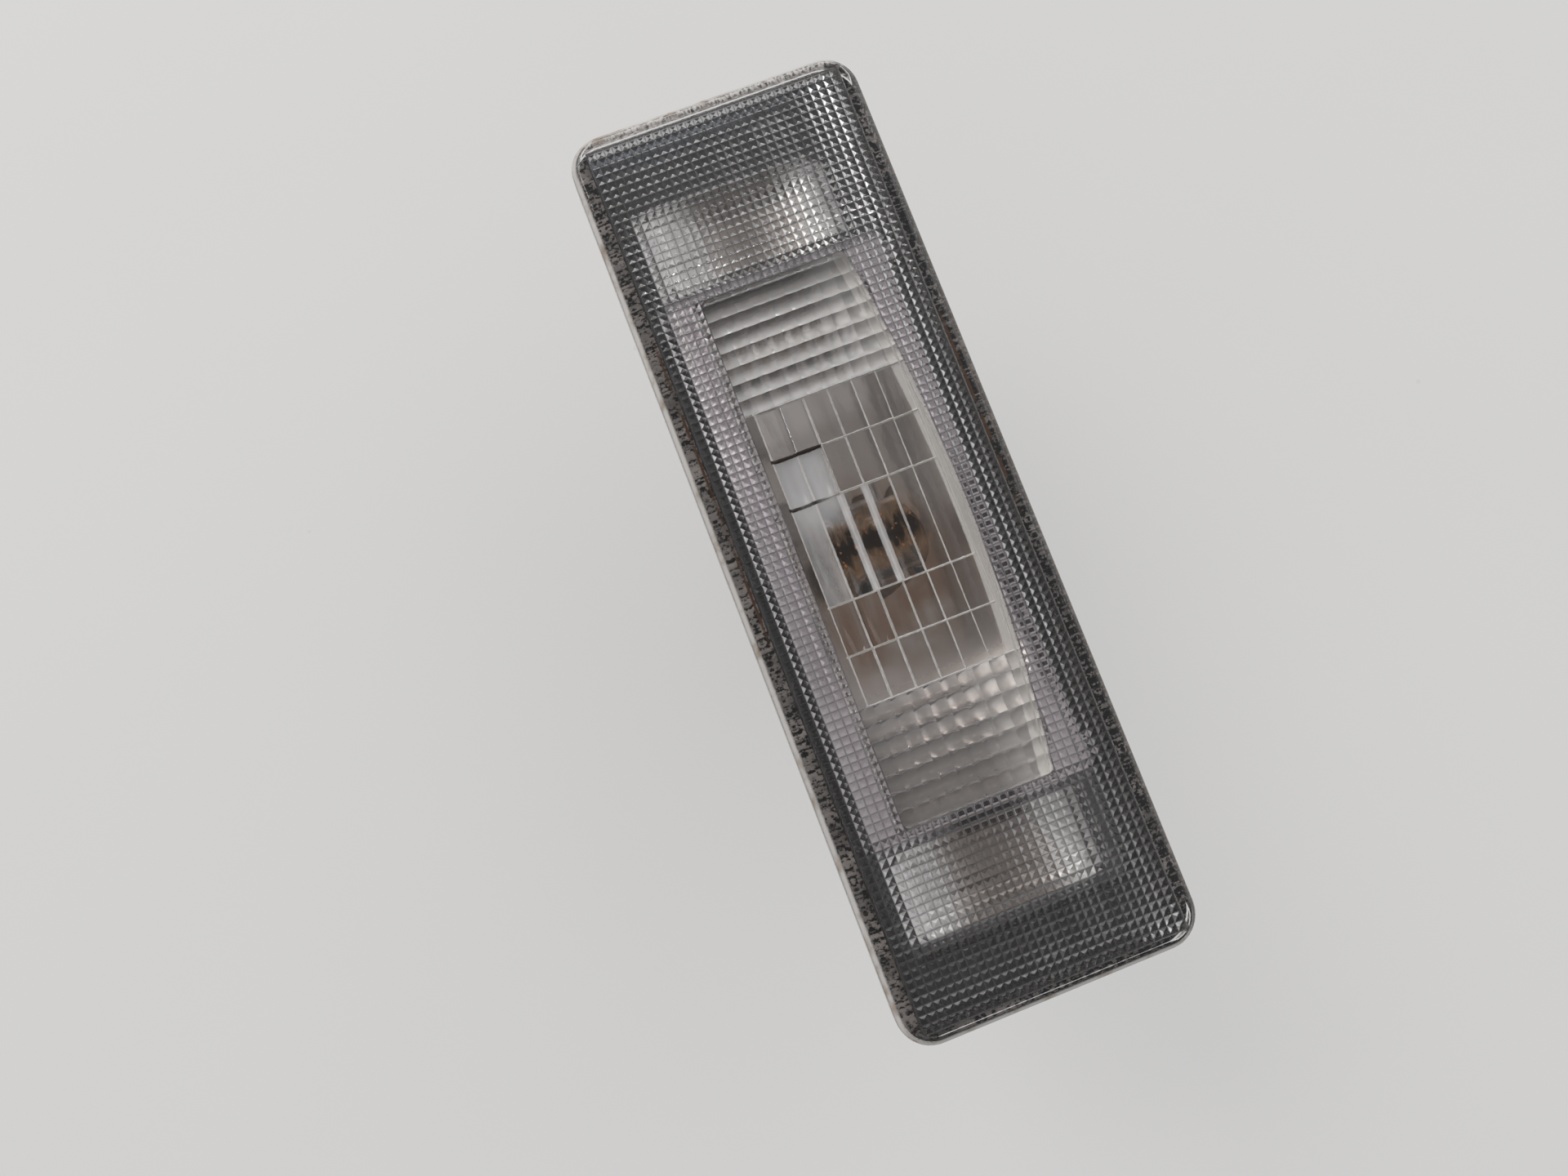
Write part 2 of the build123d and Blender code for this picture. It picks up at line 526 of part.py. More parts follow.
# Housing: deck and flange, stepped box, bulb port, hook, clip rails and reflector catches
with BuildPart() as housing:
    with BuildSketch(Plane.XY.offset(FLANGE_Z)):
        lens_outline(FLANGE_INSET)
    extrude(amount=FLANGE_THICKNESS)
    with BuildSketch(Plane.XY.offset(DECK_Z)):
        cavity_outline(RIB_CLEARANCE)
        cavity_outline(RIB_CLEARANCE + RIB_THICKNESS, mode=Mode.SUBTRACT)
    extrude(amount=RIB_HEIGHT)
    with BuildSketch(Plane.XY.offset(FLANGE_Z)):
        land_outline(BODY_GROW)
    extrude(amount=-END_DEPTH - FLANGE_Z)
    with BuildSketch(Plane.XY.offset(FLANGE_Z)):
        deep_outline(HOLLOW_HALF + BODY_WALL, BODY_GROW)
    extrude(amount=-BODY_DEPTH - FLANGE_Z, taper=BODY_DRAFT)
    with BuildSketch(Plane.XY.offset(-BODY_DEPTH)):
        with Locations(BULB_AXIS):
            Circle(PORT_RADIUS + PORT_WALL)
    extrude(amount=-PORT_HEIGHT)
    for side in (-1, 1):
        gussets(side * HOLLOW_HALF, -END_DEPTH, side * GUSSET_LENGTH, -GUSSET_LENGTH)
    with BuildSketch(Plane.XY.offset(DECK_Z)):
        land_outline(-SEAT_WIDTH)
    extrude(amount=BODY_WALL - END_DEPTH - DECK_Z, mode=Mode.SUBTRACT)
    with BuildSketch(Plane.XY.offset(DECK_Z)):
        deep_outline(HOLLOW_HALF, -SEAT_WIDTH)
    extrude(amount=BODY_FLOOR_Z - DECK_Z, taper=BODY_DRAFT, mode=Mode.SUBTRACT)
    with BuildSketch(Plane.XY.offset(PORT_Z)):
        with Locations(BULB_AXIS):
            Circle(PORT_RADIUS)
            with PolarLocations(PORT_RADIUS, BAYONET_LUGS):
                Rectangle(
                    2 * (BAYONET_REACH + NOTCH_CLEARANCE), BAYONET_WIDTH + 2 * NOTCH_CLEARANCE
                )
    extrude(amount=PORT_HEIGHT + BODY_WALL, mode=Mode.SUBTRACT)
    for x, edge in lug_places:
        side = 1 if edge > 0 else -1
        post = edge + side * (CATCH_CLEARANCE + CATCH_THICKNESS / 2)
        nose = edge + side * (CATCH_CLEARANCE - CATCH_NOSE) / 2
        nose_z = LAND_Z + CATCH_CLEARANCE
        with BuildSketch(Plane.XY.offset(DECK_Z)):
            with Locations((x, post)):
                Rectangle(CATCH_WIDTH, CATCH_THICKNESS)
        extrude(amount=nose_z + CATCH_NOSE_HEIGHT - DECK_Z)
        with BuildSketch(Plane.XY.offset(nose_z)):
            with Locations((x, nose)):
                Rectangle(CATCH_WIDTH, CATCH_NOSE + CATCH_CLEARANCE)
        extrude(amount=CATCH_NOSE_HEIGHT)
    with BuildSketch(Plane.XZ):
        hook_tip = -BODY_END - HOOK_REACH
        with BuildLine():
            Polyline(
                (-BODY_END + BODY_WALL, BEHIND_PANEL_Z),
                (hook_tip + HOOK_CHAMFER, BEHIND_PANEL_Z),
                (hook_tip, BEHIND_PANEL_Z - HOOK_CHAMFER),
                (hook_tip, BEHIND_PANEL_Z - HOOK_THICKNESS),
                (-BODY_END + BODY_WALL, BEHIND_PANEL_Z - HOOK_THICKNESS),
                close=True,
            )
        make_face()
    extrude(amount=HOOK_WIDTH / 2, both=True)
    hook_foot_z = BEHIND_PANEL_Z - HOOK_THICKNESS
    gussets(-BODY_END, hook_foot_z, -HOOK_REACH, -END_DEPTH - hook_foot_z)
    for side in (-1, 1):
        rail = side * (CLIP_WIDTH / 2 + CLIP_CLEARANCE + RAIL_THICKNESS / 2)
        lip = side * (CLIP_WIDTH / 2 + (CLIP_CLEARANCE - RAIL_LIP) / 2)
        lip_x = BODY_END + CLIP_THICKNESS + CLIP_CLEARANCE
        rail_x = BODY_END - BODY_WALL / 2
        with BuildSketch(Plane.XY.offset(BEHIND_PANEL_Z)):
            with Locations((rail_x, rail)):
                Rectangle(lip_x + RAIL_LIP - rail_x, RAIL_THICKNESS, align=(Align.MIN, Align.CENTER))
            with Locations((lip_x, lip)):
                Rectangle(RAIL_LIP, RAIL_LIP + CLIP_CLEARANCE, align=(Align.MIN, Align.CENTER))
        extrude(amount=-RAIL_LENGTH)

# Spring clip, a bent strip that presses on the back of the panel
with BuildPart() as spring_clip:
    with BuildSketch(Plane.XZ):
        with BuildLine():
            FilletPolyline(
                (CLIP_MIDDLE, BEHIND_PANEL_Z - CLIP_CLEARANCE),
                (CLIP_MIDDLE, -END_DEPTH - CLIP_BEND),
                (CLIP_MIDDLE + CLIP_SPREAD, BEHIND_PANEL_Z - CLIP_CLEARANCE),
                radius=CLIP_BEND,
            )
        trace(line_width=CLIP_THICKNESS)
    extrude(amount=CLIP_WIDTH / 2, both=True)

# Foam gasket between the flange and the panel
with BuildPart() as panel_gasket:
    with BuildSketch():
        lens_outline(GASKET_INSET)
    extrude(amount=GASKET_THICKNESS)
    with BuildSketch():
        land_outline(BODY_GROW + APERTURE_CLEARANCE)
    extrude(amount=GASKET_THICKNESS, mode=Mode.SUBTRACT)

# Wedge bulb: lead wires, filament and a blown envelope on a flat foot
bulb_wire_left = lead_wire(-1)
bulb_wire_right = lead_wire(1)
filament_z = WIRE_TOP_Z - 2 * FILAMENT_RADIUS
filament_start = (-WIRE_SPACING / 2, BULB_OFFSET, filament_z)
with BuildPart() as bulb_filament:
    with BuildLine() as coil_line:
        Polyline(
            filament_start,
            (0, BULB_OFFSET, filament_z + FILAMENT_SAG),
            (WIRE_SPACING / 2, BULB_OFFSET, filament_z),
        )
    with BuildSketch(Plane(filament_start, z_dir=coil_line.line % 0)):
        RegularPolygon(FILAMENT_RADIUS, WIRE_SIDES, major_radius=False)
    sweep(transition=Transition.RIGHT)
    add([bulb_wire_left.part, bulb_wire_right.part], mode=Mode.SUBTRACT)
with BuildPart() as bulb_glass:
    with BuildSketch(Plane.XY.offset(BULB_NECK_Z)):
        with Locations(BULB_AXIS):
            Circle(BULB_RADIUS)
    extrude(amount=BULB_TIP_Z - BULB_NECK_Z)
    chamfer(faces().sort_by(Axis.Z)[-1].edges(), BULB_TIP_HEIGHT)
    with BuildSketch(Plane.XY.offset(SHOULDER_Z)):
        with Locations(BULB_AXIS):
            Circle(BULB_RADIUS - BULB_GLASS)
    extrude(amount=BULB_TIP_Z - BULB_TIP_HEIGHT - SHOULDER_Z, mode=Mode.SUBTRACT)
    for side in (-1, 1):
        with BuildSketch(Plane.YZ):
            with BuildLine():
                Polyline(
                    (BULB_OFFSET + side * BULB_RADIUS, SHOULDER_Z),
                    (BULB_OFFSET + side * BULB_FOOT_THICKNESS / 2, BULB_NECK_Z),
                    (BULB_OFFSET + side * 2 * BULB_RADIUS, BULB_NECK_Z),
                    (BULB_OFFSET + side * 2 * BULB_RADIUS, SHOULDER_Z),
                    close=True,
                )
            make_face()
        extrude(amount=2 * BULB_RADIUS, both=True, mode=Mode.SUBTRACT)
    with BuildSketch(Plane.XY.offset(BULB_FOOT_Z)):
        with Locations(BULB_AXIS):
            RectangleRounded(BULB_FOOT_WIDTH, BULB_FOOT_THICKNESS, BULB_FOOT_THICKNESS / 3)
    extrude(amount=BULB_FOOT_LENGTH)
    add([bulb_wire_left.part, bulb_wire_right.part], mode=Mode.SUBTRACT)

# Contacts and the twist-in holder with its plug shroud
contact_left = spring_contact(-1)
contact_right = spring_contact(1)
with BuildPart() as bulb_holder:
    with BuildSketch(Plane.XY.offset(HOLDER_Z)):
        with Locations(BULB_AXIS):
            Circle(PORT_RADIUS - HOLDER_CLEARANCE)
    extrude(amount=NOSE_Z - HOLDER_Z)
    with BuildSketch(Plane.XY.offset(BAYONET_Z)):
        with Locations(BULB_AXIS):
            with PolarLocations(PORT_RADIUS, BAYONET_LUGS, start_angle=180 / BAYONET_LUGS):
                Rectangle(2 * BAYONET_REACH, BAYONET_WIDTH)
    extrude(amount=BAYONET_THICKNESS)
    with BuildSketch(Plane.XY.offset(HOLDER_Z)):
        with Locations(BULB_AXIS):
            Circle(PORT_RADIUS + PORT_WALL)
    extrude(amount=-HOLDER_FLANGE)
    with BuildSketch(Plane.XY.offset(SHROUD_Z)):
        with Locations(BULB_AXIS):
            RectangleRounded(SHROUD_LENGTH, SHROUD_WIDTH, SHROUD_CORNER)
    extrude(amount=SHROUD_END_Z - SHROUD_Z)
    with BuildSketch(Plane.XY.offset(SHROUD_Z)):
        with Locations(BULB_AXIS):
            with PolarLocations(PORT_RADIUS + PORT_WALL - WING_LENGTH / 2, 2):
                Rectangle(WING_LENGTH, WING_THICKNESS)
    extrude(amount=-WING_HEIGHT)
    with BuildSketch(Plane.YZ):
        latch_y = BULB_OFFSET + SHROUD_WIDTH / 2
        with BuildLine():
            Polyline(
                (latch_y - SHROUD_WALL / 2, SHROUD_END_Z + LATCH_LENGTH / 2),
                (latch_y, SHROUD_END_Z + LATCH_LENGTH / 2),
                (latch_y + LATCH_HEIGHT, SHROUD_END_Z + LATCH_LENGTH * 3 / 2),
                (latch_y - SHROUD_WALL / 2, SHROUD_END_Z + LATCH_LENGTH * 3 / 2),
                close=True,
            )
        make_face()
    extrude(amount=LATCH_WIDTH / 2, both=True)
    with BuildSketch(Plane.XY.offset(SHROUD_END_Z)):
        with Locations(BULB_AXIS):
            RectangleRounded(
                SHROUD_LENGTH - 2 * SHROUD_WALL, SHROUD_WIDTH - 2 * SHROUD_WALL, SHROUD_CORNER / 2
            )
    extrude(amount=SHROUD_DEPTH, mode=Mode.SUBTRACT)
    with BuildSketch(Plane.XY.offset(NOSE_Z)):
        with Locations(BULB_AXIS):
            Circle(BULB_RADIUS + BULB_CUP_CLEARANCE)
    extrude(amount=BULB_NECK_Z - BULB_FOOT_CLEARANCE - NOSE_Z, mode=Mode.SUBTRACT)
    with BuildSketch(Plane.XY.offset(NOSE_Z)):
        with Locations(BULB_AXIS):
            Rectangle(
                BULB_FOOT_WIDTH + 2 * BULB_FOOT_CLEARANCE, BULB_FOOT_THICKNESS + 2 * BULB_FOOT_CLEARANCE
            )
    extrude(amount=BULB_FOOT_Z - NOSE_Z, mode=Mode.SUBTRACT)
    with BuildSketch(Plane.XY.offset(NOSE_Z)):
        with Locations(BULB_AXIS):
            Rectangle(
                CONTACT_WIDTH + 2 * POCKET_CLEARANCE, BLADE_SPACING + CONTACT_THICKNESS + 2 * POCKET_CLEARANCE
            )
    extrude(amount=BULB_FOOT_Z - WIRE_ROOM - NOSE_Z, mode=Mode.SUBTRACT)
    add([contact_left.part, contact_right.part], mode=Mode.SUBTRACT)

# Washer between the holder and the port
with BuildPart() as holder_seal:
    with BuildSketch(Plane.XY.offset(HOLDER_Z)):
        with Locations(BULB_AXIS):
            Circle(PORT_RADIUS + PORT_WALL - GASKET_INSET)
            Circle(PORT_RADIUS, mode=Mode.SUBTRACT)
    extrude(amount=HOLDER_SEAL_THICKNESS)

lens.part.label = "lens"
lens_seal.part.label = "lens_seal"
reflector.part.label = "reflector"
housing.part.label = "housing"
spring_clip.part.label = "spring_clip"
panel_gasket.part.label = "panel_gasket"
bulb_wire_left.part.label = "bulb_wire_left"
bulb_wire_right.part.label = "bulb_wire_right"
bulb_filament.part.label = "bulb_filament"
bulb_glass.part.label = "bulb_glass"
contact_left.part.label = "contact_left"
contact_right.part.label = "contact_right"
bulb_holder.part.label = "bulb_holder"
holder_seal.part.label = "holder_seal"

export_step(lens.part, "parts/lens.step")
export_step(lens_seal.part, "parts/lens_seal.step")
export_step(reflector.part, "parts/reflector.step")
export_step(housing.part, "parts/housing.step")
export_step(spring_clip.part, "parts/spring_clip.step")
export_step(panel_gasket.part, "parts/panel_gasket.step")
export_step(bulb_wire_left.part, "parts/bulb_wire_left.step")
export_step(bulb_wire_right.part, "parts/bulb_wire_right.step")
export_step(bulb_filament.part, "parts/bulb_filament.step")
export_step(bulb_glass.part, "parts/bulb_glass.step")
export_step(contact_left.part, "parts/contact_left.step")
export_step(contact_right.part, "parts/contact_right.step")
export_step(bulb_holder.part, "parts/bulb_holder.step")
export_step(holder_seal.part, "parts/holder_seal.step")
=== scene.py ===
"""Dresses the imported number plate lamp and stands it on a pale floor, seen as in the photograph.

The frame's own axes are kept: X along the lamp, Y across it and Z out of the lens. Lengths are metres.
A pair of places is a ramp, from where it starts to where it is full. Two such pairs rise and fall again.
"""

import json
import math

import bpy
from mathutils import Matrix, Vector

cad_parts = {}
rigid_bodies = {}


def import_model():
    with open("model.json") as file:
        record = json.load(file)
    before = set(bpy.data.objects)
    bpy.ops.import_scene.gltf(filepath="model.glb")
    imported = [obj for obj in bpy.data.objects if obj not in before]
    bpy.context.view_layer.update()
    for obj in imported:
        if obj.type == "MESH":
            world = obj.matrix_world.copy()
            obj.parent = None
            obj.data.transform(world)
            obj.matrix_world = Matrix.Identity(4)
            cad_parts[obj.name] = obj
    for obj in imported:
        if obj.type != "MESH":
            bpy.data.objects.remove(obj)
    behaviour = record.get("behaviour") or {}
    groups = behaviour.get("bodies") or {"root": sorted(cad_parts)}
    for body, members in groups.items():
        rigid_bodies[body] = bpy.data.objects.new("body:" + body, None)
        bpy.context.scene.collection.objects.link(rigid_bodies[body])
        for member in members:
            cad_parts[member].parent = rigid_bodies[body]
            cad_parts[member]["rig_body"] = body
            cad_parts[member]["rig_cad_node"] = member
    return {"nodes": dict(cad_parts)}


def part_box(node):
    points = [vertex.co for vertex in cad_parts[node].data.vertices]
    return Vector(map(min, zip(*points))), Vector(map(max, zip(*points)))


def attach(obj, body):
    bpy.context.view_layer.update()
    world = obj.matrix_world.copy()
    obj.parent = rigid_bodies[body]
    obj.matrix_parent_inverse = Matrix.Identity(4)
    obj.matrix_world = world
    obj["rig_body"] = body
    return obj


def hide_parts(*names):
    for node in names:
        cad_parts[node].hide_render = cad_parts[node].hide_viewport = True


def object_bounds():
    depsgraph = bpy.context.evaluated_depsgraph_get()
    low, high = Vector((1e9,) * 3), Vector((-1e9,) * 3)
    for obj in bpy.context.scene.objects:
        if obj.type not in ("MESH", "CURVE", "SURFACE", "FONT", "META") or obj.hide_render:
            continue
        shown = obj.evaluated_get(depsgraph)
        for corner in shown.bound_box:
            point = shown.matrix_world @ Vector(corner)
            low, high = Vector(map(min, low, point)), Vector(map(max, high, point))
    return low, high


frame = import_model()
cad_low, cad_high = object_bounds()
nodes = frame["nodes"]

MM = 0.001

# Camera, solved from the four corners of the lens in a frame of 1920 by 1440
CAMERA_PLACE = Vector((13.34, -20.69, 138.93)) * MM
CAMERA_LOOK = Vector((-0.0849, 0.0668, -0.9941))
CAMERA_UP = Vector((-0.9291, 0.3551, 0.1032))
CAMERA_LENS = 27.0
CAMERA_SENSOR = 36.0
CAMERA_NEAR = 2.0 * MM

# Lens, as the part has it, with prisms at their real spacing
lens_low, lens_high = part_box("lens")
LENS_PLATE = 2.3 * MM
plate_z = lens_high.z - LENS_PLATE
FOOT_Z = 4.0 * MM
LENS_RIM = 0.8 * MM
LENS_CORNER = 4.0 * MM
RIM_ROUND = 0.3 * MM
RIM_STEPS = 3
CAVITY_LOW = Vector((-53.05, -15.15, 0.0)) * MM
CAVITY_HIGH = Vector((53.05, 16.05, 0.0)) * MM
PRISM_PITCH = 1.0 * MM
PRISM_ROWS = 106
PRISM_COLUMNS = 31
PRISM_HEIGHT = 0.3 * MM
PRISM_MIDDLE = 0.45 * MM
PRISM_VALLEY = 0.2 * MM
WINDOW_HALF = 32.0 * MM
WINDOW_NEAR = -9.0 * MM
WINDOW_FAR_END = 8.7 * MM
WINDOW_FAR_MID = 11.1 * MM
WINDOW_RISE = WINDOW_FAR_MID - WINDOW_FAR_END
WINDOW_MOAT = 0.15 * MM
WINDOW_DEPTH = 3.5 * MM
window_z = plate_z - WINDOW_DEPTH
BOW_SIDES = 1440
BLOCK_ZONE_HALF = 18.0 * MM
BLOCK_LENGTH = 6.0 * MM
BLOCK_WIDTH = 3.0 * MM
BLOCK_MARGIN = 1.4 * MM
BLOCK_NEAR = WINDOW_NEAR + BLOCK_MARGIN
BLOCK_END = 10.5 * MM
BLOCK_GAP = 0.08 * MM
BLOCK_FACE = 12.0 * MM**2
BLOCK_BEVEL = 0.13 * MM
BLOCK_PROUD = 0.14 * MM
PILLOW_PITCH = 2.0 * MM
PILLOW_COUNTS = (7, 11)
PILLOW_STEPS = (8, 6)
PILLOW_SAGS = (0.5 * MM, 0.24 * MM)
PILLOW_TRIM = 0.02 * MM
RAISED_STEPS = (12, 8)
RAISED_SAGS = (0.3 * MM, 0.4 * MM)
# Rows of blocks that stand proud: start along the window, length, columns and height
RAISED_ROWS = (
    (-12 * MM, 6 * MM, 2, 1.05 * MM),
    (-6 * MM, 12 * MM, 4, 1.25 * MM),
    (6 * MM, 6 * MM, 2, 1.05 * MM),
)
LENS_SMOOTH = math.radians(30)

# How far new optics root in the lens, how far cutters reach past it, and what counts as flat or level
ROOT = 0.3 * MM
SLAB_THICKNESS = 2 * ROOT
PLATE_CUT = 0.1 * MM
CUT_PAST = 1.0 * MM
RIM_SLACK = 0.01 * MM
LEVEL_SLACK = 0.001 * MM
MERGE_GAP = 0.0005 * MM
FLAT_ANGLE = math.radians(0.2)
FACING_DOWN = -0.8

# Bulb and filament
bulb_low, bulb_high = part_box("bulb_glass")
BULB_RADIUS = 5.0 * MM
BULB_GLASS = 0.5 * MM
BULB_SHOULDER_Z = -15.6 * MM
BULB_NECK_Z = -18.6 * MM
BULB_FOOT_HALF = Vector((4.75, 1.05)) * MM
BULB_SIDES = 48
DOME_RINGS = 6
BULB_SMOOTH = math.radians(35)
COIL_RADIUS = 0.17 * MM
COIL_WIRE = 0.045 * MM
COIL_TURNS = 16
COIL_TURN_STEPS = 12
COIL_SIDES = 8
COIL_SMOOTH = math.radians(60)

# Where dust and fuzz lie on the outside and the skirt of the lens
RIM_DUST_REACH = (LENS_CORNER - 0.75 * MM, LENS_CORNER - 0.4 * MM)
RIM_DUST_Z = (lens_high.z - 1.1 * MM, lens_high.z - 0.6 * MM)
FAR_RIM_Y = (15.0 * MM, 16.5 * MM)
FAR_RIM_CLEAN = 0.75
FAR_RIM_BROWN = 0.8
END_DUST_X = (-53.4 * MM, -52.6 * MM)
END_DUST_Z = (plate_z - 2.0 * MM, plate_z)
SKIRT_SKIN = 0.03 * MM
SKIRT_TOP_GAP = 0.1 * MM
SKIRT_END_GAP = 0.2 * MM
FOOT_GAP = 0.05 * MM

# Where painted highlights and painted shade lie on the prisms, and how dense they are
PRISM_LINE = 0.18 * MM
# Where the painted highlight lies over the troughs and the far deck
TROUGH_X = ((33.0 * MM, 33.6 * MM), (43.4 * MM, 44.0 * MM))
TROUGH_HIGHLIGHT_Y = ((-13.2 * MM, -12.8 * MM), (-10.0 * MM, -5.0 * MM))
FAR_DECK_Y = (12.0 * MM, 13.0 * MM)
# Painted shade: dark flecks in the prism cells near one end and along one side
END_SHADE_X = ((32.1 * MM, 32.3 * MM), (34.4 * MM, 35.4 * MM))
END_SHADE_MIDDLE = 0.3 * MM
END_SHADE_REACH = (3.2 * MM, 5.0 * MM)
SIDE_SHADE_X = ((-9.0 * MM, 0.0), (20.0 * MM, 26.0 * MM))
SIDE_SHADE_MIDDLE = 12.1 * MM
SIDE_SHADE_HALF = 0.6 * MM
SHADED_SHARES = (0.24, 0.36)
# Densities of the painted highlights and the painted shade
TROUGH_HIGHLIGHT = 0.6
DECK_HIGHLIGHT = 0.1
PRISM_SHADE = 0.85
VALLEY_SHADE = 0.45

# Where haze, painted shade and painted highlights lie on the pillows and blocks of the window, and how dense
# they are
FAR_PILLOWS_Y = (2.0 * MM, 7.0 * MM)
PILLOW_RAMP = (-0.1, 1.1)
PILLOW_HAZE = 0.47
BLOCK_EDGE = 0.26 * MM
BLOCK_ZONE_EDGE = 0.15 * MM
RAISED_FACE = 1.0 * MM
# Where the painted reflection lies on the raised blocks
SILVER_START = -12.0 * MM
SILVER_FADE_X = (-6.0 * MM, 1.0 * MM)
SILVER_FADE_Y = (-3.0 * MM, -0.5 * MM)
# Painted shade over the bulb, as seen through the blocks
BULB_SHADE_MIDDLE = 0.3 * MM
BULB_SHADE_RAGGED = 6.0 * MM
BULB_SHADE_REACH = (1.2 * MM, 4.5 * MM)
BULB_SHADE_BLACK_REACH = (0.6 * MM, 2.4 * MM)
BULB_SHADE_Y = ((-4.9 * MM, -4.3 * MM), (4.0 * MM, 7.4 * MM))
BULB_SHADE_DENSITY = 0.92
# Painted highlights between the block columns over the bulb
SHINE_WIDTH = 0.9 * MM
SHINE_MIDDLE = -0.1 * MM
SHINE_HALF = 2.2 * MM
ROW_EDGE_START = 2.0 * MM
WIDE_BLOCK_END = -12.3 * MM
WIDE_BLOCK_HALF = 1.0 * MM
# Painted shadow in the slots at the steps of the raised blocks
SLOT_WIDTH = 0.4 * MM
SLOT_MIDDLE = -9.0 * MM
SLOT_HALF = 4.0 * MM
FAR_WALL_BOW = (-1.1 * MM, -0.9 * MM)
FAR_WALL_HEIGHT = 1.0 * MM
FAR_WALL_PALENESS = 0.75

# Places on the housing, the reflector, the seal, the bulb and the holder that their finishes follow
DECK_DUST_Z = 3.3 * MM
DECK_DUST_X = (-51.6 * MM, -50.2 * MM)
# Painted shade darkens the housing along this ramp
DECK_SHADE_X = (-30.0 * MM, 50.0 * MM)
LAND_Z = (4.3 * MM, 4.6 * MM)
LAND_END_X = (32.2 * MM, 34.0 * MM)
LAND_EDGE_Y = (-12.6 * MM, -12.2 * MM)
LAND_RIM_Y = (-13.2 * MM, -13.0 * MM)
POCKET_X = (32.6 * MM, 33.4 * MM)
POCKET_MIDDLE = -0.5 * MM
# Painted dark reflection in the middle of the pockets, and painted shade across the bowl
POCKET_SHADE_REACH = (4.0 * MM, 9.0 * MM)
BOWL_SHADE_X = (10.0 * MM, 20.0 * MM)
BOWL_DULL_X = (12.0 * MM, 20.0 * MM)
BURN_SHIFT = Vector((-3.0, -1.5, 0.0)) * MM
BURN_STRETCH = (0.7, 1.0, 0.0)
BURN_REACH = (5.0 * MM, 12.0 * MM)
BURN_FADE_Z = (-12.0 * MM, -2.0 * MM)
SMOKE_FADE_Z = (-13.5 * MM, -8.0 * MM)
SEAL_Y = (-15.0 * MM, 15.0 * MM)
NEAR_RUST_Y = -15.45 * MM
NEAR_RUST_REACH = (0.08 * MM, 0.25 * MM)
NEAR_RUST_X = ((-31.0 * MM, -27.0 * MM), (4.0 * MM, 9.0 * MM))
FAR_RUST_Y = 16.8 * MM
FAR_RUST_REACH = (0.1 * MM, 0.3 * MM)
FAR_RUST_X = ((-24.0 * MM, -19.0 * MM), (0.0, 5.0 * MM))
BULB_SOOT_Z = (-9.0 * MM, -1.0 * MM)
SCORCH_Z = (-19.0 * MM, -17.0 * MM)

# Studio
FLOOR_SIZE = 3.0
FLOOR_GLOW = 0.6
SPECK_SIZE = 0.022
SPECK_DENSITY = 0.35
SIDE_WALLS = (0.6, 0.95)
OVERHEAD = (0.86, 0.97)


def rgb(red, green, blue):
    return (red, green, blue, 1.0)


# Colours of the clear lens and of the films on it
CLEAR_DULL = rgb(0.95, 0.95, 0.95)
CLEAR = rgb(0.97, 0.97, 0.98)
CLEAR_SHADOW = rgb(0.9, 0.9, 0.9)
# The pale colour is dust on the rim, a painted highlight on the prisms and along the block edges, and the
# pale band on the far wall of the window
PALE_DUST_AND_HIGHLIGHT = rgb(0.66, 0.64, 0.62)
BROWN_DUST = rgb(0.36, 0.29, 0.23)
BLACK_FUZZ = rgb(0.01, 0.01, 0.01)
GREY_FUZZ = rgb(0.16, 0.145, 0.14)
# Painted highlight on the lit half of each prism
WHITE_HIGHLIGHT = rgb(0.9, 0.89, 0.88)
# Painted shade in flecks in the prism cells, along the prism valleys and in the slots between blocks
FLECK_SHADE = rgb(0.012, 0.011, 0.011)
VALLEY_GREY = rgb(0.05, 0.047, 0.05)
SLOT_SHADOW = rgb(0.03, 0.02, 0.015)
# Painted shade and painted highlight in steps down each row of pillows
ROW_SHADE = rgb(0.08, 0.074, 0.074)
ROW_SHADE_FAR = rgb(0.55, 0.54, 0.535)
ROW_HIGHLIGHT = rgb(0.94, 0.92, 0.91)
EVEN_DARK = rgb(0.24, 0.225, 0.22)
EVEN_PALE = rgb(0.5, 0.485, 0.475)
# Painted reflections and highlights on the blocks
SILVER_REFLECTION = rgb(0.68, 0.69, 0.71)
DULL_REFLECTION = rgb(0.66, 0.64, 0.64)
SILVER_HIGHLIGHT = rgb(0.8, 0.79, 0.8)
# Painted shade over the bulb, as seen through the blocks, with orange flecks
BULB_SHADE_BROWN = rgb(0.14, 0.085, 0.05)
BULB_SHADE_BLACK = rgb(0.01, 0.007, 0.006)
ORANGE_FLECK = rgb(0.32, 0.13, 0.05)

# Colours of the housing, the reflector and the seals
HOUSING_DARK = rgb(0.016, 0.0155, 0.016)
HOUSING_GREY = rgb(0.03, 0.029, 0.031)
# Painted shade: the colour the plastic darkens to towards one end
HOUSING_SHADE = rgb(0.012, 0.0115, 0.012)
DECK_DUST = rgb(0.26, 0.29, 0.33)
BOWL_BRIGHT = rgb(0.88, 0.87, 0.86)
# Painted shade: the colour the bowl darkens to towards one end
BOWL_SHADE = rgb(0.6, 0.585, 0.575)
POCKET_BRIGHT = rgb(0.97, 0.96, 0.95)
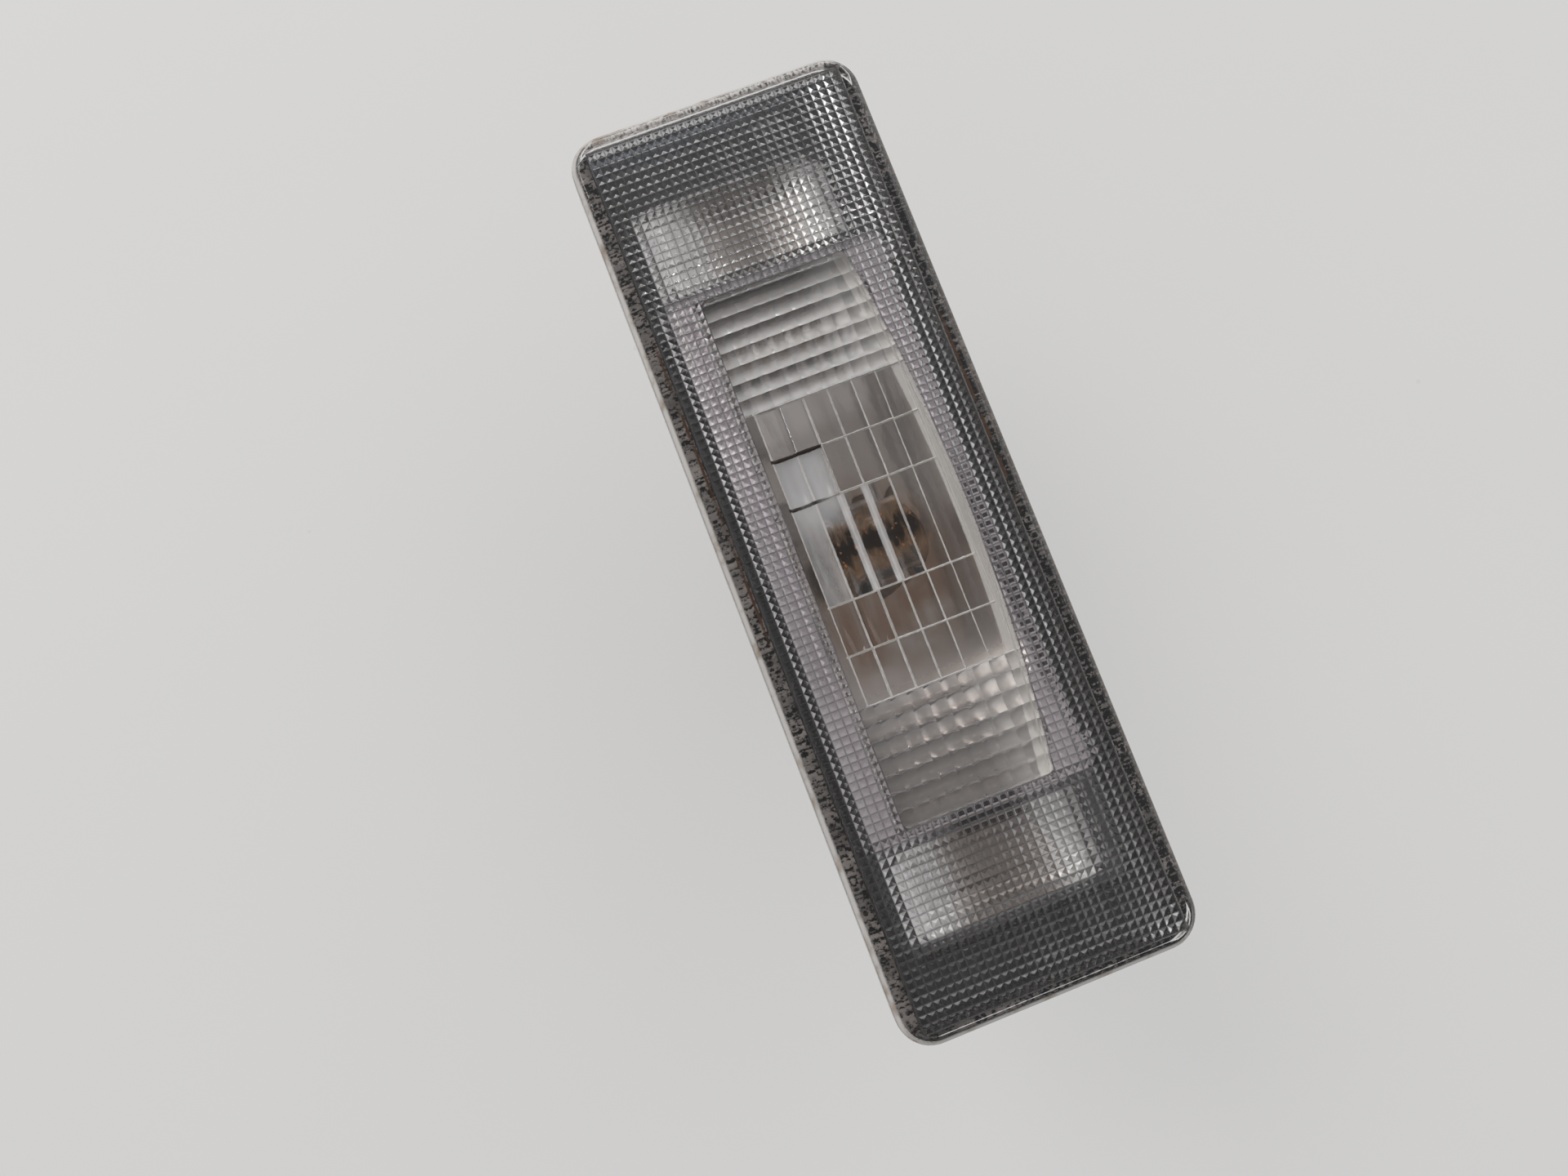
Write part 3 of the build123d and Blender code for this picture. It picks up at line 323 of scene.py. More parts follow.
# Painted dark reflection in the middle of each pocket
POCKET_SHADE = rgb(0.3, 0.265, 0.245)
LAND_GREY = rgb(0.57, 0.52, 0.545)
LAND_EDGE = rgb(0.6, 0.58, 0.58)
LAND_DARK = rgb(0.1, 0.097, 0.1)
SMOKED = rgb(0.5, 0.455, 0.43)
BURNT = rgb(0.29, 0.18, 0.12)
RUBBER = rgb(0.01, 0.0095, 0.009)
RUBBER_DUST = rgb(0.72, 0.66, 0.64)
RUST = rgb(0.24, 0.12, 0.06)

# Colours of the bulb, the metals, the holder and the gasket
GLASS = rgb(0.95, 0.94, 0.92)
GLASS_SOOT = rgb(0.5, 0.34, 0.22)
GLASS_SHADOW = rgb(0.8, 0.78, 0.75)
WIRE_SHADES = (rgb(0.36, 0.3, 0.24), rgb(0.52, 0.46, 0.4))
TUNGSTEN_SHADES = (rgb(0.2, 0.19, 0.18), rgb(0.36, 0.34, 0.32))
BRASS_SHADES = (rgb(0.6, 0.44, 0.2), rgb(0.74, 0.58, 0.3))
STEEL_SHADES = (rgb(0.38, 0.38, 0.39), rgb(0.55, 0.55, 0.56))
HOLDER_SHADES = (rgb(0.02, 0.018, 0.017), rgb(0.04, 0.034, 0.03))
SCORCHED = rgb(0.3, 0.15, 0.07)
FOAM_SHADES = (rgb(0.012, 0.012, 0.013), rgb(0.055, 0.054, 0.056))

# Colours of the studio
FLOOR_SHADES = (rgb(0.68, 0.675, 0.67), rgb(0.72, 0.715, 0.71))
FLOOR_SPECK = rgb(0.42, 0.4, 0.39)
FLOOR_LIGHT = rgb(0.7, 0.695, 0.69)
WALL_SHADES = (rgb(0.5, 0.5, 0.5), rgb(0.75, 0.75, 0.75))
SKY_OVERHEAD = rgb(0.36, 0.35, 0.34)


class Shade:
    """One socket of a node tree. Arithmetic on it adds Math nodes."""

    def __init__(self, tree, socket=None):
        self.tree = tree
        self.socket = socket

    def add(self, kind, out=0, settings=None, inputs=None):
        """Adds a node, with its settings set first, and returns one of its outputs."""
        node = self.tree.nodes.new(kind)
        for key, value in (settings or {}).items():
            setattr(node, key, value)
        for key, value in (inputs or {}).items():
            if isinstance(value, Shade):
                self.tree.links.new(value.socket, node.inputs[key])
            else:
                node.inputs[key].default_value = value
        return Shade(self.tree, node.outputs[out])

    def math(self, operation, first, second=0.0):
        return self.add("ShaderNodeMath", settings={"operation": operation}, inputs={0: first, 1: second})

    def __add__(self, other):
        return self.math("ADD", self, other)

    __radd__ = __add__

    def __sub__(self, other):
        return self.math("SUBTRACT", self, other)

    def __rsub__(self, other):
        return self.math("SUBTRACT", other, self)

    def __mul__(self, other):
        return self.math("MULTIPLY", self, other)

    __rmul__ = __mul__

    def __gt__(self, other):
        return self.math("GREATER_THAN", self, other)

    def __lt__(self, other):
        return self.math("LESS_THAN", self, other)

    def __abs__(self):
        return self.math("ABSOLUTE", self)

    def larger(self, other):
        """The larger of this and another value."""
        return self.math("MAXIMUM", self, other)

    def fraction(self):
        """What is left above the whole number below."""
        return self.math("FRACT", self)

    def step(self, low, high):
        """Rises smoothly from 0 at low to 1 at high."""
        return self.add(
            "ShaderNodeMapRange",
            settings={"interpolation_type": "SMOOTHSTEP"},
            inputs={0: self, 1: low, 2: high, 3: 0.0, 4: 1.0},
        )

    def band(self, rise, fall):
        """Rises from 0 to 1 over one ramp and falls back over another."""
        return self.step(*rise) * (1 - self.step(*fall))

    def span(self, low, high):
        """Maps 0 to 1 onto low to high."""
        return self * (high - low) + low

    def mix(self, first, second):
        """Mixes two colours by this value."""
        return self.add(
            "ShaderNodeMix", out=2, settings={"data_type": "RGBA"}, inputs={0: self, 6: first, 7: second}
        )


class Finish:
    """A new material with its Principled shader and a few patterns on Object coordinates."""

    def __init__(self, name):
        self.material = bpy.data.materials.new(name)
        self.material.use_nodes = True
        self.tree = self.material.node_tree
        self.shader = self.tree.nodes["Principled BSDF"]
        self.root = Shade(self.tree)
        self.place = self.root.add("ShaderNodeTexCoord", out="Object")
        self.x = self.root.add("ShaderNodeSeparateXYZ", out=0, inputs={0: self.place})
        self.y = Shade(self.tree, self.x.socket.node.outputs[1])
        self.z = Shade(self.tree, self.x.socket.node.outputs[2])

    def noise(self, grain, detail=2.0, stretch=(1.0, 1.0, 1.0)):
        """Noise from 0 to 1 whose features are about one grain across."""
        scale = tuple(share / grain for share in stretch)
        place = self.root.add("ShaderNodeMapping", inputs={0: self.place, 3: scale})
        return self.root.add("ShaderNodeTexNoise", inputs={"Vector": place, "Scale": 1.0, "Detail": detail})

    def cells(self, grain):
        """The distance from the middle of the nearest cell, with cells about one grain across."""
        place = self.root.add("ShaderNodeMapping", inputs={0: self.place, 3: (1 / grain,) * 3})
        return self.root.add("ShaderNodeTexVoronoi", inputs={"Vector": place, "Scale": 1.0})

    def near_line(self, along, pitch, start, width):
        """Is 1 on evenly spaced lines across one axis, and 0 between them, with soft edges."""
        turn = ((along - start) * (1 / pitch) + 0.5).fraction()
        return 1 - abs(turn - 0.5).step(0.4 * width / pitch, 0.6 * width / pitch)

    def set(self, **values):
        """Sets sockets of the shader by name, with an underscore for each space."""
        for key, value in values.items():
            socket = self.shader.inputs[key.replace("_", " ")]
            if isinstance(value, Shade):
                self.tree.links.new(value.socket, socket)
            else:
                socket.default_value = value

    def bump(self, height, depth):
        """Raises the surface by up to a depth."""
        raised = self.root.add(
            "ShaderNodeBump", inputs={"Strength": 1.0, "Distance": depth, "Height": height}
        )
        self.set(Normal=raised)

    def cover(self, factor, other):
        """Mixes another shader over the finish."""
        output = self.tree.nodes["Material Output"].inputs["Surface"]
        under = Shade(self.tree, output.links[0].from_socket)
        both = self.root.add("ShaderNodeMixShader", inputs={0: factor, 1: under, 2: other})
        self.tree.links.new(both.socket, output)

    def let_shadow_light_through(self, colour):
        """Makes the finish clear for shadow rays, so that light falls through it."""
        shadow = self.root.add("ShaderNodeLightPath", out="Is Shadow Ray")
        self.cover(shadow, self.root.add("ShaderNodeBsdfTransparent", inputs={0: colour}))


class Film:
    """A matt film over a finish, built up in layers that each lie over those before."""

    def __init__(self, finish, factor, colour):
        self.finish = finish
        self.factor = factor
        self.colour = colour

    def lay(self, factor, colour):
        """Lays one more layer, which hides those before by its own factor."""
        both = factor + self.factor * (1 - factor)
        self.colour = self.finish.root.math("DIVIDE", factor, both).mix(self.colour, colour)
        self.factor = both

    def apply(self):
        """Covers the finish with the film."""
        matt = self.finish.root.add(
            "ShaderNodeBsdfPrincipled",
            inputs={"Base Color": self.colour, "Roughness": 0.9, "Specular IOR Level": 0.0},
        )
        self.finish.cover(self.factor, matt)


def reach_to_rim(finish):
    """Measures outward across the lens, from the middles of its rounded corners."""
    over_x = (abs(finish.x) - (lens_high.x - LENS_CORNER)).larger(0.0)
    over_y = (abs(finish.y) - (lens_high.y - LENS_CORNER)).larger(0.0)
    return finish.root.math("SQRT", over_x * over_x + over_y * over_y)


def outer_dust(finish, haze, fluff):
    """Dust on the rim of the lens, thickest at one end and browner along the far side."""
    far_side = finish.y.step(*FAR_RIM_Y)
    rim = reach_to_rim(finish).step(*RIM_DUST_REACH)
    rim = rim * (1 - FAR_RIM_CLEAN * far_side) * haze.span(0.7, 0.95)
    rim = rim * finish.z.step(*RIM_DUST_Z).span(0.2, 1.0)
    at_end = (1 - finish.x.step(*END_DUST_X)) * fluff.step(0.35, 0.6)
    at_end = at_end * finish.z.step(*END_DUST_Z).span(0.2, 0.85)
    dirt = finish.noise(grain=2.5 * MM, detail=5.0).step(0.5, 0.75)
    dirt = dirt.larger(far_side * FAR_RIM_BROWN)
    return rim.larger(at_end), dirt.mix(PALE_DUST_AND_HIGHLIGHT, BROWN_DUST)


def skirt_fuzz(finish, fluff):
    """Dark fuzz on the inner wall of the skirt, clear of its foot and of the prisms."""
    middle_y = (CAVITY_LOW.y + CAVITY_HIGH.y) / 2
    half_y = (CAVITY_HIGH.y - CAVITY_LOW.y) / 2
    past_x = abs(finish.x) - CAVITY_HIGH.x
    past_y = abs(finish.y - middle_y) - half_y
    skirt = past_x.larger(past_y) > -SKIRT_SKIN
    skirt = skirt * (reach_to_rim(finish) < RIM_DUST_REACH[0]) * (finish.z < plate_z - SKIRT_TOP_GAP)
    skirt = skirt * (finish.x > -CAVITY_HIGH.x + SKIRT_END_GAP) * (finish.z > FOOT_Z + FOOT_GAP)
    return skirt, fluff.step(0.46, 0.64).mix(BLACK_FUZZ, GREY_FUZZ)


def prism_films(finish):
    """Painted highlight on one half of each prism over the troughs and the far deck, with painted shade in
    flecks in the prisms and along the valleys between them.
    """
    first_column = PRISM_MIDDLE - PRISM_COLUMNS * PRISM_PITCH / 2
    from_valley = abs(finish.z - plate_z + PRISM_VALLEY)
    in_bed = from_valley < PRISM_HEIGHT + PRISM_VALLEY
    cell_x = (finish.x * (1 / PRISM_PITCH)).fraction()
    cell_y = ((finish.y - first_column) * (1 / PRISM_PITCH)).fraction()
    # Painted highlight on one half of each prism
    lit_half = in_bed * (cell_x + cell_y < 1.0)
    over_trough = abs(finish.x).band(*TROUGH_X) * finish.y.band(*TROUGH_HIGHLIGHT_Y)
    yield lit_half * over_trough * TROUGH_HIGHLIGHT, WHITE_HIGHLIGHT
    yield lit_half * finish.y.step(*FAR_DECK_Y) * DECK_HIGHLIGHT, PALE_DUST_AND_HIGHLIGHT

    # Painted shade: dark flecks in the middles of prism cells near one end and along one side
    at_end = finish.x.band(*END_SHADE_X) * (1 - abs(finish.y - END_SHADE_MIDDLE).step(*END_SHADE_REACH))
    at_side = (abs(finish.y - SIDE_SHADE_MIDDLE) < SIDE_SHADE_HALF) * finish.x.band(*SIDE_SHADE_X)
    shaded_cells = at_end.larger(at_side) * finish.noise(grain=2 * MM, detail=4.0).step(0.3, 0.42)
    shaded_cells = shaded_cells * in_bed
    for cell, share in zip((cell_x, cell_y), SHADED_SHARES):
        shaded_cells = shaded_cells * (abs(cell - 0.5) < share)
    yield shaded_cells * PRISM_SHADE, FLECK_SHADE

    # Painted shade along the valleys between the prisms
    across = finish.near_line(finish.x, PRISM_PITCH, 0.0, PRISM_LINE)
    along = finish.near_line(finish.y, PRISM_PITCH, first_column, PRISM_LINE)
    yield across.larger(along) * (from_valley < PRISM_HEIGHT) * VALLEY_SHADE, VALLEY_GREY


def pillow_haze_and_shading(finish, pillow_zone):
    """Haze on the pillows, paler on the far columns: even at one end, and at the other end with painted
    shade and painted highlight in steps down each row.
    """
    far_columns = finish.y.step(*FAR_PILLOWS_Y)
    down_row = ((finish.x - BLOCK_ZONE_HALF) * (1 / PILLOW_PITCH)).fraction()
    # Painted shade at one edge of each row, rising to a painted highlight at the other
    rows = down_row.step(*PILLOW_RAMP).mix(far_columns.mix(ROW_SHADE, ROW_SHADE_FAR), ROW_HIGHLIGHT)
    even = far_columns.mix(EVEN_DARK, EVEN_PALE)
    return pillow_zone * PILLOW_HAZE, (finish.x < 0.0).mix(even, rows)


def block_films(finish, block_zone, haze, fluff):
    """Painted light on the blocks, from the lowest layer up: silvery reflections, shade over the bulb with
    highlights between the columns, highlights along the edges and shadows in the slots.
    """
    ragged = finish.noise(grain=0.9 * MM, detail=3.0, stretch=(0.35, 1.0, 1.0))
    over_bulb = block_zone * (abs(finish.x) < BLOCK_LENGTH)
    in_columns = (finish.y > BLOCK_NEAR - BLOCK_EDGE) * (finish.y < BLOCK_END)

    # Painted reflection on the raised blocks
    silver_reflection = (finish.z < window_z - RAISED_FACE) * (1 - finish.y.step(*SILVER_FADE_Y))
    silver_reflection = silver_reflection * (finish.x > SILVER_START) * (1 - finish.x.step(*SILVER_FADE_X))
    yield silver_reflection * haze.span(0.35, 0.75), SILVER_REFLECTION
    # Painted reflection along the first column of blocks over the bulb
    first_column = over_bulb * (finish.y > BLOCK_NEAR) * (finish.y < BLOCK_NEAR + BLOCK_WIDTH)
    yield first_column * haze.span(0.2, 0.5) * ragged.span(0.4, 1.6), DULL_REFLECTION

    # Painted shade over the bulb, as seen through the blocks, ragged and with orange flecks
    from_bulb = abs(finish.x - BULB_SHADE_MIDDLE) + (ragged - 0.5) * BULB_SHADE_RAGGED
    darkening = over_bulb * (1 - from_bulb.step(*BULB_SHADE_REACH)) * BULB_SHADE_DENSITY
    brown = (1 - from_bulb.step(*BULB_SHADE_BLACK_REACH)).mix(BULB_SHADE_BROWN, BULB_SHADE_BLACK)
    orange_flecks = finish.noise(grain=0.6 * MM).step(0.64, 0.7)
    yield darkening * finish.y.band(*BULB_SHADE_Y), orange_flecks.mix(brown, ORANGE_FLECK)
    # Painted highlights between the block columns over the bulb
    shine = over_bulb * finish.near_line(finish.y, BLOCK_WIDTH, BLOCK_NEAR, SHINE_WIDTH)
    shine = shine * (abs(finish.y - SHINE_MIDDLE) < SHINE_HALF)
    yield shine * ragged.span(0.3, 0.9), SILVER_HIGHLIGHT

    # Painted highlights along the edges of the blocks
    column_edge = finish.near_line(finish.y, BLOCK_WIDTH, BLOCK_NEAR, BLOCK_EDGE)
    row_edge = finish.near_line(finish.x, BLOCK_LENGTH, BLOCK_ZONE_HALF, BLOCK_EDGE)
    row_edge = row_edge * (abs(finish.x) > ROW_EDGE_START)
    wide_block = abs(finish.y - BLOCK_NEAR - BLOCK_WIDTH) < WIDE_BLOCK_HALF
    wide_block = wide_block * (finish.x < WIDE_BLOCK_END) * (1 - row_edge)
    edges = column_edge.larger(row_edge) * (1 - wide_block)
    yield block_zone * edges * in_columns * fluff.span(0.3, 1.1), PALE_DUST_AND_HIGHLIGHT

    # Painted shadow in the slots at the steps of the raised blocks
    slot = finish.near_line(finish.x, BLOCK_LENGTH, 0.0, SLOT_WIDTH)
    slot = slot * (abs(finish.x - SLOT_MIDDLE) < SLOT_HALF)
    slot = slot * block_zone * in_columns * (finish.y < BLOCK_NEAR + 2 * BLOCK_WIDTH)
    yield slot * haze.step(0.3, 0.5), SLOT_SHADOW


def far_wall_film(finish):
    """The pale band where the window bows out on the far side."""
    bow = finish.y + finish.x * finish.x * (WINDOW_RISE / WINDOW_HALF**2) - WINDOW_FAR_MID
    band = bow.step(*FAR_WALL_BOW) * (bow < WINDOW_MOAT)
    band = band * (finish.z < window_z + FAR_WALL_HEIGHT) * (abs(finish.x) < WINDOW_HALF)
    return band * FAR_WALL_PALENESS, PALE_DUST_AND_HIGHLIGHT


def clear_plastic():
    """Clear plastic of the lens, with its dust, fuzz and haze, and with painted highlights, reflections and
    shade on the prisms, the pillows and the blocks.
    """
    finish = Finish("clear_plastic")
    haze = finish.noise(grain=6 * MM, detail=6.0)
    fluff = finish.noise(grain=0.35 * MM, detail=4.0, stretch=(0.5, 1.0, 1.0))
    finish.set(
        Base_Color=haze.mix(CLEAR_DULL, CLEAR),
        Roughness=haze.span(0.01, 0.06),
        IOR=1.49,
        Transmission_Weight=1.0,
    )
    finish.bump(finish.noise(grain=0.7 * MM, detail=3.0), depth=0.01 * MM)
    window_face = finish.z < FOOT_Z - FOOT_GAP
    block_zone = window_face * (abs(finish.x) < BLOCK_ZONE_HALF + BLOCK_ZONE_EDGE)
    film = Film(finish, *outer_dust(finish, haze, fluff))
    film.lay(*skirt_fuzz(finish, fluff))
    for factor, colour in prism_films(finish):
        film.lay(factor, colour)
    film.lay(*pillow_haze_and_shading(finish, window_face - block_zone))
    for factor, colour in block_films(finish, block_zone, haze, fluff):
        film.lay(factor, colour)
    film.lay(*far_wall_film(finish))
    film.apply()
    finish.let_shadow_light_through(CLEAR_SHADOW)
    return finish.material


def housing_plastic():
    """Dark grained plastic, with bluish dust at one end of the deck and painted shade that darkens the whole
    housing towards the other end.
    """
    finish = Finish("housing_plastic")
    grain = finish.noise(grain=0.35 * MM, detail=3.0)
    cloud = finish.noise(grain=9 * MM, detail=4.0)
    dust = (finish.z > DECK_DUST_Z) * (1 - finish.x.step(*DECK_DUST_X)) * cloud.step(0.2, 0.6)
    # Painted shade darkens the plastic towards the +X end
    plain = finish.x.step(*DECK_SHADE_X).mix(cloud.mix(HOUSING_DARK, HOUSING_GREY), HOUSING_SHADE)
    finish.set(
        Base_Color=(dust * 0.6).mix(plain, DECK_DUST),
        Roughness=grain.span(0.42, 0.62),
        Specular_IOR_Level=0.3,
    )
    finish.bump(grain, depth=0.02 * MM)
    return finish.material


def metallised_plastic():
    """Bright metal skin of the reflector: dull land, pockets with a painted dark reflection in their
    middles, a bowl burnt by the bulb, and painted shade that darkens the bowl towards one end.
    """
    finish = Finish("metallised_plastic")
    cloud = finish.noise(grain=7 * MM, detail=4.0)
    land = finish.z.step(*LAND_Z)
    in_pocket = abs(finish.x).step(*POCKET_X)
    # Painted dark reflection in the middle of each pocket
    pocket_shade = in_pocket * (1 - abs(finish.y - POCKET_MIDDLE).step(*POCKET_SHADE_REACH))
    land_edge = land * (1 - finish.y.step(*LAND_EDGE_Y))
    land_end = land * abs(finish.x).step(*LAND_END_X)
    land_end = land_end.larger(land * (1 - finish.y.step(*LAND_RIM_Y)))
    smoked = 1 - finish.z.step(*SMOKE_FADE_Z)
    from_burn = finish.root.add(
        "ShaderNodeMapping", inputs={0: finish.place, 1: BURN_SHIFT, 3: BURN_STRETCH}
    )
    reach = finish.root.add(
        "ShaderNodeVectorMath", out="Value", settings={"operation": "LENGTH"}, inputs={0: from_burn}
    )
    burnt = (1 - reach.step(*BURN_REACH)) * (1 - finish.z.step(*BURN_FADE_Z)) * cloud.step(0.25, 0.6)

    # Painted shade darkens the bowl towards the +X end
    colour = finish.x.step(*BOWL_SHADE_X).mix(BOWL_BRIGHT, BOWL_SHADE)
    for share, over in (
        (in_pocket, POCKET_BRIGHT),
        (pocket_shade, POCKET_SHADE),
        (land, LAND_GREY),
        (land_edge, LAND_EDGE),
        (land_end, LAND_DARK),
        (smoked, SMOKED),
        (burnt, BURNT),
    ):
        colour = share.mix(colour, over)
    dull = (in_pocket * (1 - land)).larger(finish.x.step(*BOWL_DULL_X))
    finish.set(
        Base_Color=colour,
        Metallic=1.0,
        Roughness=cloud.span(0.08, 0.16) + land * 0.12 + dull * 0.2,
    )
    finish.bump(finish.noise(grain=2.5 * MM, detail=2.0), depth=0.02 * MM)
    return finish.material


def seal_rubber():
    """Black rubber under pale fibres of dust, with rusty lines along both sides."""
    finish = Finish("seal_rubber")
    fluff = finish.noise(grain=0.32 * MM, detail=5.0, stretch=(1.0, 0.6, 1.0))
    patch = finish.noise(grain=4 * MM, detail=3.0)
    near_side = 1 - finish.y.step(*SEAL_Y)
    near_line = 1 - abs(finish.y - NEAR_RUST_Y).step(*NEAR_RUST_REACH)
    far_line = 1 - abs(finish.y - FAR_RUST_Y).step(*FAR_RUST_REACH)
    rust = near_line * finish.x.band(*NEAR_RUST_X) + far_line * finish.x.band(*FAR_RUST_X)
    dust = (fluff + near_side.span(-0.06, 0.01)).step(0.42, 0.56) * patch.step(0.2, 0.7).span(0.3, 1.0)
    dust = dust * (finish.z > 0.0).span(0.05, 1.0)
    finish.set(
        Base_Color=(rust * patch.step(0.35, 0.55)).mix(dust.mix(RUBBER, RUBBER_DUST), RUST),
        Roughness=0.85,
    )
    finish.bump(fluff, depth=0.12 * MM)
    return finish.material


def bulb_glass_finish():
    """Thin glass, browned towards its tip."""
    finish = Finish("bulb_glass")
    darkening = finish.z.step(*BULB_SOOT_Z) * finish.noise(grain=3 * MM, detail=3.0).step(0.3, 0.6)
    finish.set(
        Base_Color=darkening.mix(GLASS, GLASS_SOOT),
        Roughness=0.02,
        IOR=1.5,
        Transmission_Weight=1.0,
    )
    finish.let_shadow_light_through(GLASS_SHADOW)
    return finish.material


def bare_metal(name, shades, rough, grain, stretch):
    """Bare metal with streaks that run along its drawing or rolling."""
    finish = Finish(name)
    streak = finish.noise(grain, detail=3.0, stretch=stretch)
    finish.set(
        Base_Color=streak.mix(*shades),
        Metallic=1.0,
        Roughness=streak.span(rough, rough + 0.18),
    )
    finish.bump(streak, depth=0.01 * MM)
    return finish.material


def holder_plastic():
    """Black plastic of the bulb holder, scorched brown round the bulb."""
    finish = Finish("holder_plastic")
    grain = finish.noise(grain=0.4 * MM, detail=3.0)
    cloud = finish.noise(grain=5 * MM, detail=3.0)
    scuff = finish.cells(grain=1.6 * MM).step(0.0, 0.06)
    scorched = finish.z.step(*SCORCH_Z) * cloud.step(0.2, 0.7)
    finish.set(
        Base_Color=scorched.mix(cloud.mix(*HOLDER_SHADES), SCORCHED),
        Roughness=grain.span(0.35, 0.55) + (1 - scuff) * 0.1,
    )
    finish.bump(grain, depth=0.015 * MM)
    return finish.material


def gasket_foam():
    """Black foam with open pores."""
    finish = Finish("gasket_foam")
    pores = finish.cells(grain=0.45 * MM)
    finish.set(Base_Color=pores.step(0.1, 0.6).mix(*FOAM_SHADES), Roughness=0.92)
    finish.bump(pores, depth=0.12 * MM)
    return finish.material


def floor_paint():
    """Pale paint with faint specks, which looks evenly lit to the camera and through the lens."""
    finish = Finish("floor_paint")
    cloud = finish.noise(grain=60 * MM, detail=4.0)
    speck = finish.cells(grain=22 * MM) < SPECK_SIZE
    finish.set(Base_Color=(speck * SPECK_DENSITY).mix(cloud.mix(*FLOOR_SHADES), FLOOR_SPECK), Roughness=0.6)
    seen = finish.root.add("ShaderNodeLightPath", out="Is Camera Ray")
    for ray in ("Is Glossy Ray", "Is Transmission Ray"):
        seen = seen.larger(finish.root.add("ShaderNodeLightPath", out=ray))
    finish.cover(seen * FLOOR_GLOW, finish.root.add("ShaderNodeEmission", inputs={0: FLOOR_LIGHT}))
    return finish.material


def use(piece):
    """Makes a piece the only one selected, and the active one, in object mode."""
    if bpy.context.mode != "OBJECT":
        bpy.ops.object.mode_set(mode="OBJECT")
    bpy.ops.object.select_all(action="DESELECT")
    piece.select_set(True)
    bpy.context.view_layer.objects.active = piece


def copy_of(node, name):
    """Copies a CAD node into a piece of its own, with its triangles merged into whole faces."""
    use(nodes[node])
    bpy.ops.object.duplicate()
    piece = bpy.context.active_object
    piece.name = name
    piece.parent = None
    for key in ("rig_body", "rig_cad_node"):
        del piece[key]
    piece.data.materials.clear()
    bpy.ops.object.mode_set(mode="EDIT")
    bpy.ops.mesh.select_all(action="SELECT")
    bpy.ops.mesh.remove_doubles(threshold=MERGE_GAP)
    bpy.ops.mesh.dissolve_limited(angle_limit=FLAT_ANGLE)
    bpy.ops.mesh.customdata_custom_splitnormals_clear()
    bpy.ops.object.mode_set(mode="OBJECT")
    return piece


def pick(piece, kind, test):
    """Selects the vertices, edges or faces that pass a test, and leaves the piece in edit mode."""
    use(piece)
    bpy.ops.object.mode_set(mode="EDIT")
    bpy.ops.mesh.select_mode(type={"vertices": "VERT", "edges": "EDGE", "polygons": "FACE"}[kind])
    bpy.ops.mesh.select_all(action="DESELECT")
    bpy.ops.object.mode_set(mode="OBJECT")
    for item in getattr(piece.data, kind):
        item.select = test(item)
    bpy.ops.object.mode_set(mode="EDIT")


def block(low, high):
    """Adds a box between two corners."""
    middle = (low + high) / 2
    bpy.ops.mesh.primitive_cube_add(size=1, location=middle, scale=high - low)
    bpy.ops.object.transform_apply(location=True, rotation=False, scale=True)
    return bpy.context.active_object


def combine(piece, other, operation):
    """Joins, cuts or crosses a piece with another, which is used up."""
    use(piece)
    boolean = piece.modifiers.new("combine", "BOOLEAN")
    boolean.object = other
    boolean.operation = operation
    boolean.solver = "EXACT"
    bpy.ops.object.modifier_apply(modifier=boolean.name)
    bpy.data.objects.remove(other)
    return piece


def window_core(grow, low_z, high_z):
    """Adds the solid that fills the window's outline: straight on the near side, bowed on the far side."""
    radius = (WINDOW_HALF**2 + WINDOW_RISE**2) / (2 * WINDOW_RISE)
    well_past = 4 * (high_z - low_z)
    low = Vector((-WINDOW_HALF - grow, WINDOW_NEAR - grow, low_z))
    high = Vector((WINDOW_HALF + grow, 2 * WINDOW_FAR_MID, high_z))
    core = block(low, high)
    bpy.ops.mesh.primitive_cylinder_add(
        vertices=BOW_SIDES,
        radius=radius + grow,
        depth=well_past,
        location=(0, WINDOW_FAR_MID - radius, (low_z + high_z) / 2),
    )
    bow = bpy.context.active_object
    bpy.ops.object.transform_apply(location=True, rotation=False, scale=False)
    return combine(core, bow, "INTERSECT")


def prism_bed(valley_z, top_z):
    """Adds a slab with a field of small pyramids on its underside."""
    bpy.ops.mesh.primitive_grid_add(
        x_subdivisions=PRISM_ROWS,
        y_subdivisions=PRISM_COLUMNS,
        size=1,
        location=(0, PRISM_MIDDLE, valley_z),
    )
    bed = bpy.context.active_object
    bed.scale = (PRISM_ROWS * PRISM_PITCH, PRISM_COLUMNS * PRISM_PITCH, 1)
    bpy.ops.object.transform_apply(location=True, rotation=False, scale=True)
    bpy.ops.object.mode_set(mode="EDIT")
    bpy.ops.mesh.select_mode(type="FACE")
    bpy.ops.mesh.select_all(action="SELECT")
    bpy.ops.mesh.poke(offset=-PRISM_HEIGHT)
    bpy.ops.mesh.select_mode(type="EDGE")
    bpy.ops.mesh.select_all(action="DESELECT")
    bpy.ops.mesh.select_non_manifold()
    bpy.ops.mesh.extrude_edges_move(TRANSFORM_OT_translate={"value": (0, 0, top_z - valley_z)})
    bpy.ops.mesh.edge_face_add()
    bpy.ops.mesh.select_all(action="SELECT")
    bpy.ops.mesh.normals_make_consistent(inside=False)
    bpy.ops.object.mode_set(mode="OBJECT")
    return bed


